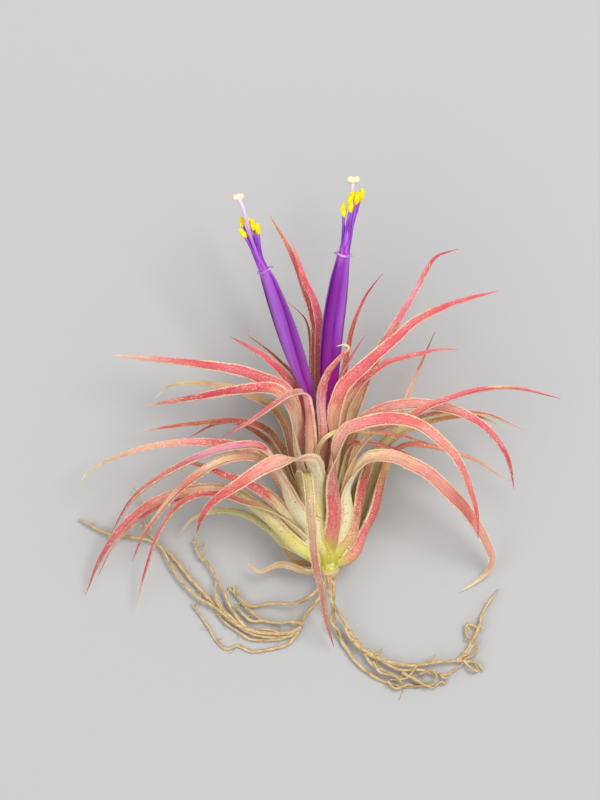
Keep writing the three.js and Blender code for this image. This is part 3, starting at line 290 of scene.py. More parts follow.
# One entry for each leaf. around: where its base sits round the stem, in degrees, 0 on the side
# that looks up and 90 on the +X side. height: how far above the neck. width: the blade's. taper:
# the share of the length that narrows towards the tip. sheath: how much wider the base is, where
# it isn't the usual. open: how far the blade's upper face turns towards the sky, and below 0 its
# under face. opening: the shares of the length between which it does, where they aren't the usual.
# fold: a side of the blade, seen from above and walking outwards, that shows another colour along
# its margin. colours: at the base, which is point 0, and at the points after it. points: the middle
# line beyond the stem.
LEAVES = {
    "leaf_front_1": dict(
        around=0, height=9, width=4, taper=0.42, open=0.85, opening=(0.46, 0.64),
        colours={0: "lime", 1: "lime", 2: "ivory", 3: "ivory", 4: "cream", 5: "peach", 6: "blush",
                 7: "salmon", 8: "rose", 10: "crimson"},
        points=[(-0.3, -20.5, 19), (-0.5, -14, 25), (-0.9, -9, 33.5), (-3, -5.8, 41), (-8.8, -6.5, 46),
                (-14.5, -8.8, 47), (-20, -12.5, 45), (-26.3, -16.8, 41), (-29.3, -20.5, 37.5),
                (-30.8, -25, 33)],
    ),
    "leaf_front_2": dict(
        around=-25, height=7, width=2.9, taper=0.5,
        colours={0: "sage", 2: "olive", 4: "olive", 6: "tan", 7: "clay", 8: "clay", 9: "coral",
                 10: "brick"},
        points=[(-3.8, -22, 17.5), (-4.6, -14.5, 24.5), (-4.3, -9.8, 32), (-3.2, -10.5, 36.8),
                (-2.5, -16.8, 38.5), (-2.2, -21.8, 36), (-1.3, -31.8, 28.5), (0.3, -39.3, 20),
                (1.5, -46.8, 11), (3.5, -53.8, 3)],
    ),
    "leaf_front_3": dict(
        around=25, height=8, width=3.3, taper=0.45, open=0.8,
        colours={0: "ochre", 0.4: "salmon", 1: "hot", 2.6: "crimson", 3.2: "peach", 4: "blush", 6: "pink",
                 7: "salmon", 9: "blush", 12: "salmon", 14: "crimson"},
        points=[(3.4, -20, 22), (2.8, -12, 28.5), (3.5, -5, 34.5), (6.3, 0.8, 38.3), (10, 2.3, 39.6),
                (15, 3.5, 40), (20, 3.5, 39.8), (25, 2, 39), (30, -1.8, 37), (33.8, -5.8, 34.5),
                (36.3, -10.5, 31.5), (38, -15.5, 28.5), (39.3, -20.5, 25.5), (39.5, -26.3, 22)],
    ),
    "leaf_front_4": dict(
        around=55, height=6, width=3.7, taper=0.4, open=0.7,
        colours={0: "lime", 1: "ivory", 2: "ivory", 3: "ivory", 4: "sand", 6: "peach", 7: "peach",
                 8: "blush", 9: "blush", 11: "salmon", 12: "blush", 14: "peach", 15: "straw", 17: "ivory"},
        points=[(6.4, -20, 18.5), (6.3, -14, 23.5), (8.8, -8.8, 28), (12, -6, 30.5), (15, -5.5, 31.5),
                (18.8, -6, 32), (22.5, -7.5, 31.5), (26.3, -9.5, 30), (30, -12.5, 27.5), (33.8, -16.3, 24),
                (37.5, -20.3, 19.5), (40, -24.3, 15.5), (42, -28, 11), (43.3, -32, 6.5), (42.5, -34.3, 4),
                (40, -36.8, 2), (35, -40, 0.8)],
    ),
    "leaf_front_5": dict(
        around=-20, height=17, width=3.3, taper=0.45, open=0.4,
        colours={0: "beige", 1: "sand", 2: "blush", 3: "rose", 4: "lilac", 5: "pink", 7: "pink", 8: "rose",
                 9: "crimson"},
        points=[(-1.8, -8, 26), (-2.3, 2, 32.5), (-2.8, 7.5, 36.5), (-3.8, 10.3, 39), (-7.5, 9.8, 41),
                (-12.5, 6.5, 41.5), (-17.5, 3, 40.5), (-21.3, 0.8, 39), (-24.8, -1.3, 37)],
    ),
    "leaf_front_6": dict(
        around=20, height=18, width=2.5, taper=0.35,
        colours={0: "beige", 2: "blush", 3: "lilac", 4: "rose", 6: "crimson", 7: "pink", 8: "sand",
                 10: "ivory"},
        points=[(0.7, -7, 24.5), (0.7, 0.8, 29.5), (0.2, 8.3, 32), (0.7, 12, 33.5), (2, 15.3, 35),
                (4, 17.8, 36.5), (5.8, 19.8, 37.5), (7.2, 21.2, 38.2), (6.2, 22, 38.6), (4, 21.6, 39)],
    ),
    "leaf_front_7": dict(
        around=5, height=16, width=1.3, taper=0.4,
        colours={0: "beige", 2: "olive", 3: "straw", 4: "lime", 5: "lime", 6: "ochre", 7: "coral",
                 8: "rust", 10: "coral"},
        points=[(-0.8, -9.5, 27), (-0.4, -4, 32), (1.3, -1.2, 34.3), (3.8, 0.3, 34.9), (7.5, 0.7, 34.6),
                (12.5, 0.3, 34.2), (17.5, -0.2, 33.4), (21.3, -0.8, 32.5), (25, -2, 31.3),
                (30, -3.5, 29.5)],
    ),
    "leaf_left_1": dict(
        around=-85, height=15, width=4, taper=0.55, open=0.6,
        colours={0: "beige", 3: "blush", 5: "rose", 6: "pink", 7: "rose", 8: "blush", 9: "sand"},
        points=[(-4.5, -8, 20.5), (-5.6, 3.3, 25), (-7, 8.5, 27), (-10, 11.7, 28), (-14.5, 13.7, 28.5),
                (-20, 15.6, 28.5), (-30, 17.2, 28), (-42.5, 18.6, 26), (-52, 19.5, 24)],
    ),
    "leaf_left_2": dict(
        around=-55, height=15, width=4.1, taper=0.5, open=0.6,
        colours={0: "beige", 2: "sand", 4: "peach", 5: "salmon", 6: "rose", 8: "crimson", 9: "crimson",
                 10: "sand"},
        points=[(-4.5, -8, 24), (-5.6, 0.8, 29.5), (-6.6, 6, 32), (-9, 9.6, 33.3), (-11.5, 11.1, 33.8),
                (-15, 11.3, 34), (-20, 10.9, 34), (-30, 9.1, 33.5), (-36, 8.1, 32.4), (-43.5, 6.9, 31)],
    ),
    "leaf_left_3": dict(
        around=-110, height=13, width=2.3, taper=0.5, open=0.7,
        colours={0: "sage", 2: "beige", 3: "olive", 5: "straw", 6: "straw", 7: "tan", 8: "straw",
                 9: "olive", 10: "sand"},
        points=[(-5.8, -10, 17.5), (-8.3, 0.8, 21), (-10, 4.5, 22.3), (-12.5, 7, 23), (-17.5, 9.5, 23),
                (-22.5, 11.7, 22.5), (-27.5, 12.3, 21.5), (-32.5, 12.5, 20), (-37.5, 11.8, 18),
                (-41.3, 8.8, 16)],
    ),
    "leaf_left_4": dict(
        around=-125, height=17, width=3.1, taper=0.5, open=0.8,
        colours={0: "beige", 3: "rose", 4: "pink", 5: "hot", 7: "pink", 9: "brick"},
        points=[(-3, -6, 19), (-4, 4, 21.5), (-6.2, 10.5, 23.5), (-8, 13.3, 24.5), (-10, 15.8, 25),
                (-12.5, 18, 25.5), (-14.5, 19.6, 25.7), (-17.5, 21.4, 25.7), (-22.5, 24.1, 25)],
    ),
    "leaf_left_5": dict(
        around=-145, height=15, width=1.3, taper=0.5, open=0.8,
        colours={0: "tan", 3: "brown", 4: "rust", 6: "brick", 8: "tan"},
        points=[(-3, -6, 15.5), (-4.3, 6, 17.5), (-6.5, 14.3, 19.5), (-10, 18, 20.5), (-12.5, 20.3, 20.8),
                (-15.5, 22.6, 21), (-18, 24.6, 21), (-17.8, 25.8, 20.8)],
    ),
    "leaf_left_6": dict(
        around=-105, height=9, width=2.2, taper=0.55, open=0.8,
        colours={0: "beige", 3: "blush", 4: "rose", 5: "blush", 6: "peach", 7: "tan", 8: "straw",
                 9: "ivory"},
        points=[(-7, -17, 14.5), (-13, -8.5, 19.5), (-19, -3.7, 23), (-26.3, -2.4, 25), (-35, -2.3, 25.5),
                (-45, -4, 24), (-52.5, -6.7, 20.5), (-58, -9.6, 16.5), (-60.3, -13.3, 13.5)],
    ),
    "leaf_left_7": dict(
        around=-42, height=9, width=3.8, taper=0.5, sheath=1.5, open=0.5, fold=("left", "crimson"),
        colours={0: "ivory", 1: "ivory", 2: "sand", 3: "sand", 3.4: "peach", 3.7: "crimson", 4.4: "hot",
                 5: "lilac", 6: "lilac", 7: "rose", 8: "salmon", 10: "brick"},
        points=[(-5.6, -18.5, 22), (-8.6, -11.8, 29), (-11.3, -6.5, 33), (-15, -3.2, 34.5), (-20, -3, 35),
                (-27.5, -4.7, 34), (-35, -8, 31.5), (-42.5, -12.5, 28), (-47.5, -17, 25), (-52, -24.5, 21)],
    ),
    "leaf_left_8": dict(
        around=-70, height=8, width=2.6, taper=0.5, open=0.6, fold=("left", "crimson"),
        colours={0: "sage", 2: "beige", 4: "sand", 5: "peach", 6: "cream", 7: "sand", 8: "salmon",
                 9: "peach", 10: "straw", 11: "salmon", 12: "brick"},
        points=[(-5.5, -19.5, 17.8), (-8.8, -13, 23), (-12.5, -7.3, 28), (-16.3, -6, 30.5),
                (-20, -5.8, 31.5), (-23.8, -6.5, 32), (-27.5, -8.3, 31.3), (-32.5, -11.8, 28.3),
                (-37, -16, 23.8), (-40.5, -20.3, 19.5), (-44.5, -26, 13.5), (-47, -32, 9.5)],
    ),
    "leaf_left_9": dict(
        around=-55, height=6, width=3.6, taper=0.72, sheath=0.6, open=-0.9,
        colours={0: "lime", 1: "ivory", 2: "ivory", 2.6: "straw", 3.3: "coral", 4: "hot", 7: "crimson",
                 8: "crimson", 9: "ochre", 10: "straw", 11: "crimson"},
        points=[(-5, -24, 15.5), (-8.8, -19.5, 19.5), (-12.5, -16, 22.5), (-16.3, -13.5, 24.8),
                (-20, -11.8, 26), (-23.8, -10.5, 26.8), (-27.5, -9, 27), (-31, -7.7, 26.8),
                (-33.6, -7.5, 26.5), (-34.6, -8.9, 26), (-33.4, -11, 25.3)],
    ),
    "leaf_left_10": dict(
        around=-60, height=5, width=3.5, taper=0.75, sheath=0.7, open=-0.8,
        colours={0: "bulb", 1: "lime", 2: "lime", 3: "sage", 5: "olive", 6: "beige", 7: "peach",
                 8: "salmon", 9: "rose", 11: "brick"},
        points=[(-5, -28, 12.3), (-8.8, -24.8, 14.5), (-12.5, -21.2, 17), (-16.3, -18, 19),
                (-20, -15.5, 20), (-26.3, -13.8, 20.5), (-33.8, -14.6, 19.8), (-41.3, -17.1, 17),
                (-48.8, -22.6, 12.5), (-55, -31.3, 7), (-58.8, -40.6, 2)],
    ),
    "leaf_left_11": dict(
        around=-115, height=6, width=1.7, taper=0.6, open=0.8,
        colours={0: "ivory", 2: "tan", 4: "coral", 6: "salmon", 7: "peach", 8: "brick"},
        points=[(-8, -22.5, 11), (-17, -16.8, 14), (-26, -15.2, 15), (-33.8, -16, 14.2), (-37.5, -17.2, 13),
                (-45, -21.3, 9.5), (-51.3, -27.5, 5.5), (-55.5, -35.5, 1)],
    ),
    "leaf_left_12": dict(
        around=-75, height=7, width=1.9, taper=0.5, open=0.5,
        colours={0: "sage", 2: "olive", 3: "rust", 4: "crimson", 5: "salmon", 6: "coral", 7: "blush",
                 8: "pink", 9: "rose", 10: "sand"},
        points=[(-7.6, -21.8, 18.6), (-13.5, -18.6, 21.5), (-19, -17.2, 23.8), (-25, -15.2, 24.6),
                (-31.3, -15.6, 23.3), (-36, -18.6, 20.5), (-39, -22.3, 17.2), (-41.5, -27.5, 13.2),
                (-44, -35, 7.5), (-46.5, -44.8, 2.5)],
    ),
    "leaf_left_13": dict(
        around=-80, height=4, width=2.5, taper=0.7, open=-0.8,
        colours={0: "lime", 1: "lime", 2: "moss", 4: "moss", 5: "moss", 6: "straw", 7: "cream"},
        points=[(-5, -29.5, 8), (-8.8, -27.8, 8.5), (-12, -24.5, 9.5), (-18.8, -20.4, 9.8), (-25, -19.5, 9),
                (-31.8, -21.5, 6.5), (-35.5, -25.8, 3)],
    ),
    "leaf_left_14": dict(
        around=-125, height=11, width=2.4, taper=0.75, open=0.8,
        colours={0: "olive", 3: "brown", 4: "maroon", 5: "rust", 6: "brick", 7: "rust", 8: "coral",
                 9: "sand"},
        points=[(-5, -13, 14.5), (-8, -6, 17), (-10.3, -2.7, 18), (-12.7, 0.4, 18.6), (-16, 2.2, 18.8),
                (-22.5, 3.1, 17.8), (-30, 2.5, 15.5), (-38.8, 1.4, 12), (-45.8, 0.1, 8.5)],
    ),
    "leaf_left_15": dict(
        around=-140, height=10, width=2, taper=0.7, open=0.8,
        colours={0: "beige", 2: "tan", 3: "brown", 4: "rust", 6: "brick", 7: "rust"},
        points=[(-5.8, -14, 11.5), (-10.5, -4.4, 13.5), (-13.3, -1.8, 14), (-17, 0.9, 14.4),
                (-21.3, 2.6, 14.3), (-26, 2.3, 13.5), (-33.3, -1.5, 10.5)],
    ),
    "leaf_top_1": dict(
        around=175, height=16, width=2.7, taper=0.42, sheath=0, open=0.9,
        colours={0: "sand", 4: "pink", 5: "rose", 6: "pink", 7: "salmon", 8: "coral", 9: "ochre"},
        points=[(-0.8, -4, 16.5), (-1.2, 9.5, 20), (-1.2, 18.3, 22.5), (-1, 25.8, 24.5), (-2, 30.8, 26),
                (-3.3, 34.5, 27), (-5, 39.5, 28), (-7.5, 45.5, 29), (-12.5, 54.3, 30)],
    ),
    "leaf_top_2": dict(
        around=150, height=18, width=2.4, taper=0.35, sheath=0, open=0.9,
        colours={0: "sand", 3: "rose", 4: "pink", 5: "pink", 6: "rose", 7: "pink", 8: "blush"},
        points=[(0.4, -3, 18.8), (-0.2, 12, 22.6), (-0.2, 20, 25.2), (-0.2, 27, 27.8), (-1.5, 33.3, 29.8),
                (-3.3, 37, 30.8), (-5, 42, 31.5), (-7.3, 48.5, 32)],
    ),
    "leaf_top_3": dict(
        around=-165, height=13, width=1.5, taper=0.6, sheath=0, open=0.9,
        colours={0: "brown", 3: "brown", 4: "rust", 5: "coral"},
        points=[(-2, -2, 12.5), (-2.4, 12, 16), (-2.4, 22, 19.5), (-3.6, 28.3, 21), (-8, 32.8, 21.5)],
    ),
    "leaf_top_4": dict(
        around=120, height=16, width=1.5, taper=0.4, sheath=0.2, open=0.9,
        colours={0: "tan", 2: "rust", 4: "coral", 5: "rust", 6: "coral", 7: "pink", 8: "crimson",
                 9: "maroon"},
        points=[(2.5, -4, 17.8), (4.8, 6, 20.5), (5.5, 12, 22), (6.6, 18.3, 23.8), (7.6, 24, 25.2),
                (8.6, 27.8, 26), (10.1, 31.5, 26.5), (11.9, 35, 26.8), (15.6, 39.8, 27)],
    ),
    "leaf_top_5": dict(
        around=60, height=18, width=1.7, taper=0.4, sheath=0.2, open=0.4,
        colours={0: "sand", 3: "salmon", 5: "hot", 6: "pink", 7: "rose", 8: "rose"},
        points=[(2, -6, 22.5), (3.8, 2, 27), (4.3, 8.3, 30), (4.6, 12, 31.3), (5.3, 14.8, 32.2),
                (6.7, 17.2, 33), (8.8, 20.8, 34), (11.3, 24.5, 34.5)],
    ),
    "leaf_right_1": dict(
        around=50, height=16, width=3.9, taper=0.6, open=0.85,
        colours={0: "ivory", 1: "sand", 2: "peach", 3: "salmon", 5: "pink", 7: "rose", 8: "pink",
                 10: "rose", 12: "pink"},
        points=[(2.8, -7, 26.5), (3.4, 3.3, 32.3), (4.2, 7.8, 34.3), (5.6, 11.3, 35.5), (7.9, 13.9, 36.2),
                (10.7, 16.5, 36.6), (13.2, 18.8, 36.9), (18.2, 23, 37), (23.2, 27.5, 36.8),
                (30.7, 31.5, 36), (35.7, 33.2, 35), (44.5, 35.5, 33)],
    ),
    "leaf_right_2": dict(
        around=95, height=15, width=3.4, taper=0.6, open=0.7,
        colours={0: "ivory", 1: "ivory", 2: "straw", 3: "tan", 4: "peach", 5: "salmon", 6: "blush",
                 7: "pink", 9: "lilac", 10: "rose", 12: "brick"},
        points=[(5, -7, 19.5), (6.8, 1.3, 22.8), (8.5, 5.7, 24), (10.3, 10.7, 25), (13.1, 17.7, 26),
                (17.5, 24.9, 27), (19.5, 28.2, 27.3), (21.8, 31.9, 27.5), (24.3, 36.2, 27.5),
                (26.8, 41, 27.4), (29, 44, 27), (34.5, 46, 26)],
    ),
    "leaf_right_3": dict(
        around=75, height=15, width=2.9, taper=0.55, open=0.6,
        colours={0: "ivory", 1: "ivory", 2: "straw", 3: "straw", 4: "peach", 5: "rose", 6: "hot", 7: "pink",
                 9: "pink", 11: "blush"},
        points=[(4, -7, 23.3), (5.3, 2, 27.2), (6.2, 6.3, 28.7), (8, 9.5, 29.8), (10.3, 12.8, 30.5),
                (13.3, 15.3, 31), (16.6, 17.5, 31), (20.3, 18.8, 30.8), (25.3, 19.9, 30), (30, 20.9, 28.8),
                (34.5, 20.9, 27.5)],
    ),
    "leaf_right_4": dict(
        around=135, height=6, width=1.8, taper=0.6, open=0.9,
        colours={0: "olive", 3: "olive", 4: "ochre", 5: "tan", 6: "peach", 7: "rust", 8: "maroon"},
        points=[(9, -24, 8.5), (12, -16.8, 10.3), (15, -8, 12), (18, -0.5, 13.3), (20.5, 5.8, 13.8),
                (23.5, 13.3, 13.6), (25.5, 17.8, 12.8), (28.8, 25.3, 11)],
    ),
    "leaf_right_5": dict(
        around=60, height=11, width=1.2, taper=0.5, open=0.4,
        colours={0: "sage", 1: "olive", 2: "rust", 3: "brick", 4: "coral", 5: "crimson", 7: "crimson"},
        points=[(5.2, -9.5, 24.2), (7.4, -3.2, 27.6), (10.5, -2.2, 28.4), (14.5, -2.8, 28),
                (18.8, -4, 26.6), (24, -6.5, 24), (30, -11, 19.5)],
    ),
    "leaf_right_6": dict(
        around=70, height=10, width=3.2, taper=0.4, open=0.6, fold=("right", "crimson"),
        colours={0: "ivory", 2: "sand", 3: "blush", 5: "blush", 6: "blush", 7: "blush", 8: "pink",
                 9: "pink", 11: "rose", 12: "crimson"},
        points=[(6, -12, 21.5), (7.8, -3, 25.8), (10.3, 3, 28), (16.3, 6.3, 30), (20, 7.1, 30.3),
                (25, 7.3, 30.5), (32.5, 6.1, 30.3), (37.8, 3.8, 29.5), (42, 0.9, 28), (45.2, -3.1, 25.8),
                (47.2, -7, 23.5), (48.6, -14, 19)],
    ),
    "leaf_right_7": dict(
        around=55, height=9, width=2.5, taper=0.55, open=0.6, fold=("right", "crimson"),
        colours={0: "lime", 1: "sage", 3: "sand", 4: "blush", 5: "salmon", 7: "pink", 9: "pink",
                 10: "straw", 11: "salmon", 12: "hot"},
        points=[(5.6, -14, 22.3), (8.2, -6, 27.2), (13.2, 0.5, 31.5), (19.6, 3, 35), (23.8, 5, 36.2),
                (27.5, 7, 36.8), (31.3, 8.4, 37), (35, 9.7, 37), (40, 10.9, 36.5), (45, 11.4, 35.5),
                (50, 11.1, 34), (60, 8.6, 30)],
    ),
    "leaf_right_8": dict(
        around=75, height=4.5, width=2.4, taper=0.85, sheath=1.3, open=-0.9,
        colours={0: "lime", 1: "salmon", 2: "hot", 3: "crimson", 4: "crimson", 5: "ochre", 6: "rust",
                 7: "rust", 8: "coral", 10: "peach", 12: "sand"},
        points=[(7.4, -29.4, 10.6), (10.4, -25.2, 11.4), (13.3, -19.8, 13.5), (14.8, -14.3, 15.3),
                (16.3, -9, 17.3), (18.2, -5, 18.8), (21.5, -3, 19.5), (26, -3, 19.3), (32, -4.3, 18),
                (38.8, -6.7, 15.8), (44, -9.9, 13), (48.3, -12.5, 10.5)],
    ),
    "leaf_right_9": dict(
        around=70, height=6.5, width=2.8, taper=0.85, sheath=1.1, open=-0.9, fold=("left", "lime"),
        colours={0: "lime", 1: "ochre", 2: "crimson", 3: "crimson", 4: "olive", 5: "olive", 6: "straw",
                 7: "brown", 8: "brick", 10: "rose", 11: "blush"},
        points=[(6.8, -25, 14), (9.3, -18.5, 16.5), (10.8, -11.8, 18.8), (13, -6, 20.2), (16.3, -1.8, 21.2),
                (20, 1.3, 21.5), (25, 3.8, 21.2), (30, 5, 20.3), (37.5, 5.1, 18), (42.5, 4.4, 16),
                (51, 0.8, 12)],
    ),
    "leaf_right_10": dict(
        around=120, height=8, width=2.4, taper=0.7, open=0.9,
        colours={0: "olive", 3: "olive", 4: "straw", 5: "ochre", 6: "rust", 7: "straw", 8: "cream"},
        points=[(7.6, -18, 12), (11.5, -9.5, 14.5), (16, -3.5, 16.4), (22, 0.7, 17.2), (30, 3.5, 16.6),
                (38.8, 4.2, 14.6), (42.7, 3, 13), (46.1, 0.9, 11.5)],
    ),
    "leaf_dry_1": dict(
        around=-110, height=1.8, width=2.6, taper=0.8, open=0.6,
        colours={0: "tan", 2: "straw", 4: "tan", 6: "straw", 8: "straw"},
        points=[(-2.6, -35, 8), (-5, -34.3, 7.6), (-7.5, -33.3, 7.3), (-10, -33, 7.2), (-12.5, -33.8, 7.2),
                (-15, -34.9, 6.8), (-17.3, -33.6, 6.6), (-18.5, -31.5, 7)],
    ),
    "leaf_dry_2": dict(
        around=-150, height=3.5, width=1.6, taper=0.6, open=0.8,
        colours={0: "brown", 2: "tan", 4: "tan"},
        points=[(-2.5, -32.8, 5.4), (-6.5, -32, 5.4), (-9, -29, 5.4), (-11.5, -25.3, 5.4)],
    ),
    "leaf_back_1": dict(
        around=180, height=13, width=3.2, taper=0.5,
        colours={0: "lime", 2: "olive", 4: "brick"},
        points=[(0, -11, 8.5), (-1, 0, 4), (-2, 8, 0.9), (-3, 14, 0)],
    ),
    "leaf_back_2": dict(
        around=-150, height=12, width=2.8, taper=0.6, open=0.5,
        colours={0: "lime", 2: "olive", 4: "tan", 6: "rust"},
        points=[(-5, -9, 8), (-8.2, 0.5, 4), (-11, 5.5, 1.8), (-16, 9, 0.4), (-22, 10.6, 0),
                (-28, 9.6, 0.2)],
    ),
    "leaf_back_3": dict(
        around=-125, height=8, width=2.8, taper=0.6, open=0.6,
        colours={0: "lime", 2: "olive", 3: "tan", 5: "coral"},
        points=[(-6.5, -18, 6.3), (-10.5, -9.5, 3.6), (-16, -4.5, 1), (-25, -4, 0), (-32, -6.3, 0.3)],
    ),
    "leaf_back_4": dict(
        around=150, height=12, width=2.8, taper=0.6, open=0.5,
        colours={0: "lime", 2: "olive", 4: "tan", 6: "rust"},
        points=[(5.5, -10, 8), (9, 0, 4), (12.5, 4.8, 1.8), (18, 7, 0.4), (24, 7.3, 0), (30, 6.6, 0.2)],
    ),
    "leaf_back_5": dict(
        around=130, height=7, width=2.8, taper=0.6, open=0.6,
        colours={0: "lime", 2: "olive", 3: "tan", 5: "coral"},
        points=[(9, -18, 5), (13.8, -9.5, 2.6), (19.5, -6, 0.7), (26, -9, -0.1), (31.5, -13.8, 0.2)],
    ),
    "leaf_back_6": dict(
        around=-170, height=10, width=3.2, taper=0.6, open=0.3,
        colours={0: "lime", 2: "olive", 4: "rust"},
        points=[(-3, -15, 6.5), (-6, -6, 2.8), (-9, 2, 0.5), (-12, 8.5, 0.1)],
    ),
}

# Each strand: its radius and the points of its middle line.
ROOTS = {
    "roots_left": [
        (0.55, (1.6, -35.5, 9.5), (1.3, -37.3, 8.3), (-3.8, -41.8, 5.5), (-6.8, -42.8, 4),
         (-12.5, -42.8, 2.5), (-17.5, -43.5, 1.5), (-19.5, -42.3, 1.2), (-23, -38.8, 1)),
        (0.4, (-19.3, -42.5, 1.2), (-20.6, -40.6, 1.6), (-21, -38.5, 2)),
        (0.65, (1.6, -35.5, 9.3), (1.2, -38.2, 7.8), (-0.5, -41.8, 6), (-2.5, -44.3, 4.5), (-4, -46.3, 3),
         (-4.6, -49, 2)),
        (0.45, (-4.4, -47.8, 2.2), (-7.5, -47.4, 2), (-10, -47.8, 1.8), (-14.5, -46.9, 1.6),
         (-18, -44.3, 1.8), (-19.8, -42.6, 1.6)),
        (0.45, (-13.8, -47, 1.6), (-17, -47.3, 1.5), (-18.5, -46.3, 1.4), (-21.5, -43.3, 1.2)),
        (0.6, (-4.6, -48.8, 2), (-7.5, -50.1, 1.8), (-12.5, -50.3, 1.5), (-16.3, -49.8, 1.4),
         (-21.3, -47.8, 1.4), (-26.3, -43.5, 1.4), (-30, -39.3, 1.3), (-33.3, -35.8, 1.2),
         (-36.3, -31.8, 1.2), (-40, -28.8, 1.2), (-42.5, -27, 1.4), (-48.8, -26, 1.6), (-54.3, -24.9, 1.4),
         (-60.5, -21.8, 1)),
        (0.45, (-4.6, -48.8, 1.8), (-7.5, -51, 1.4), (-12.5, -51.3, 1), (-17.5, -50.3, 1),
         (-27, -43.3, 2.2), (-30, -41.8, 2), (-33, -39.3, 1.8), (-36.5, -35, 1.8), (-39.5, -29.3, 2.2),
         (-42.5, -25.5, 2.2), (-44.3, -21.3, 2), (-44.5, -18.8, 2), (-46.7, -13.8, 2.3)),
        (0.4, (-7, -50.8, 1.3), (-10, -51.8, 0.9), (-17.5, -51.8, 0.8), (-20, -50.3, 0.9), (-24.5, -47, 1),
         (-26.8, -43.8, 1.4)),
        (0.45, (-18.5, -49.2, 1.4), (-22.5, -43.8, 2), (-23.8, -40.5, 2.2), (-25.5, -37.5, 2),
         (-28.3, -32.5, 1.8), (-30, -31.3, 1.8), (-31.3, -28, 2), (-30.8, -24.8, 2.4)),
        (0.45, (-20.3, -48, 1.5), (-25.3, -43.3, 2.5), (-26, -41.3, 2.6), (-26.2, -36.8, 3)),
        (0.45, (-4.6, -48.8, 1.8), (-8, -53, 0.8), (-13.8, -54.6, 0.4), (-17.5, -54.9, 0.4),
         (-20.8, -53.5, 0.4), (-23.5, -54.3, 0.4), (-26.3, -51.8, 0.4), (-28, -48.8, 0.7),
         (-32.3, -42.8, 1)),
    ],
    "roots_right": [
        (0.6, (2.9, -35.5, 9.4), (2.6, -37, 8.4), (2.8, -41.8, 6.5), (3.8, -43.8, 5.5), (6.5, -48, 3.5),
         (7.5, -50.5, 3)),
        (0.85, (7.2, -49.8, 3.1), (9.3, -53, 2.6), (11.8, -55, 2.3), (15, -56.8, 2.2), (17.5, -57.7, 2.2)),
        (0.5, (16.5, -57.4, 2.2), (21.3, -58.3, 2.5), (25, -58.3, 2.6), (30, -57.5, 2.4), (35, -57.3, 2),
         (39.5, -57.8, 1.4), (41, -60, 0.9)),
        (0.55, (2.9, -35.5, 9.2), (3.5, -38.2, 7.4), (3.3, -41.5, 6), (3.3, -44.8, 4), (4, -49.3, 2),
         (5.5, -52.3, 1.3), (7.5, -55.5, 1), (10, -58.5, 0.9), (15, -62, 0.5), (18, -63, 0.4),
         (21.3, -63.7, 0.4), (26.3, -63.5, 0.5), (31.8, -62.8, 0.9)),
        (0.5, (10.8, -54.6, 2.2), (13, -58, 1.6), (18.8, -61, 1.6), (22.5, -61.5, 1.5), (25, -62.6, 1.2),
         (27.5, -63.4, 1)),
        (0.45, (15.5, -57.2, 2.1), (20, -59.5, 2), (25, -59.5, 2), (31.3, -60.8, 1.4), (33.8, -59.5, 1.6),
         (36.5, -57.5, 1.9)),
        (0.55, (34.4, -57.3, 2), (36.3, -55.5, 2.3), (39, -51, 2.2), (40, -48.5, 2), (40.8, -45.5, 1.8),
         (42.5, -42.5, 1.6), (44.8, -39.3, 1.4)),
        (0.4, (39.8, -48.9, 2), (36.9, -48.1, 2), (37.2, -51.6, 2), (38.6, -51.6, 2.1)),
    ],
}

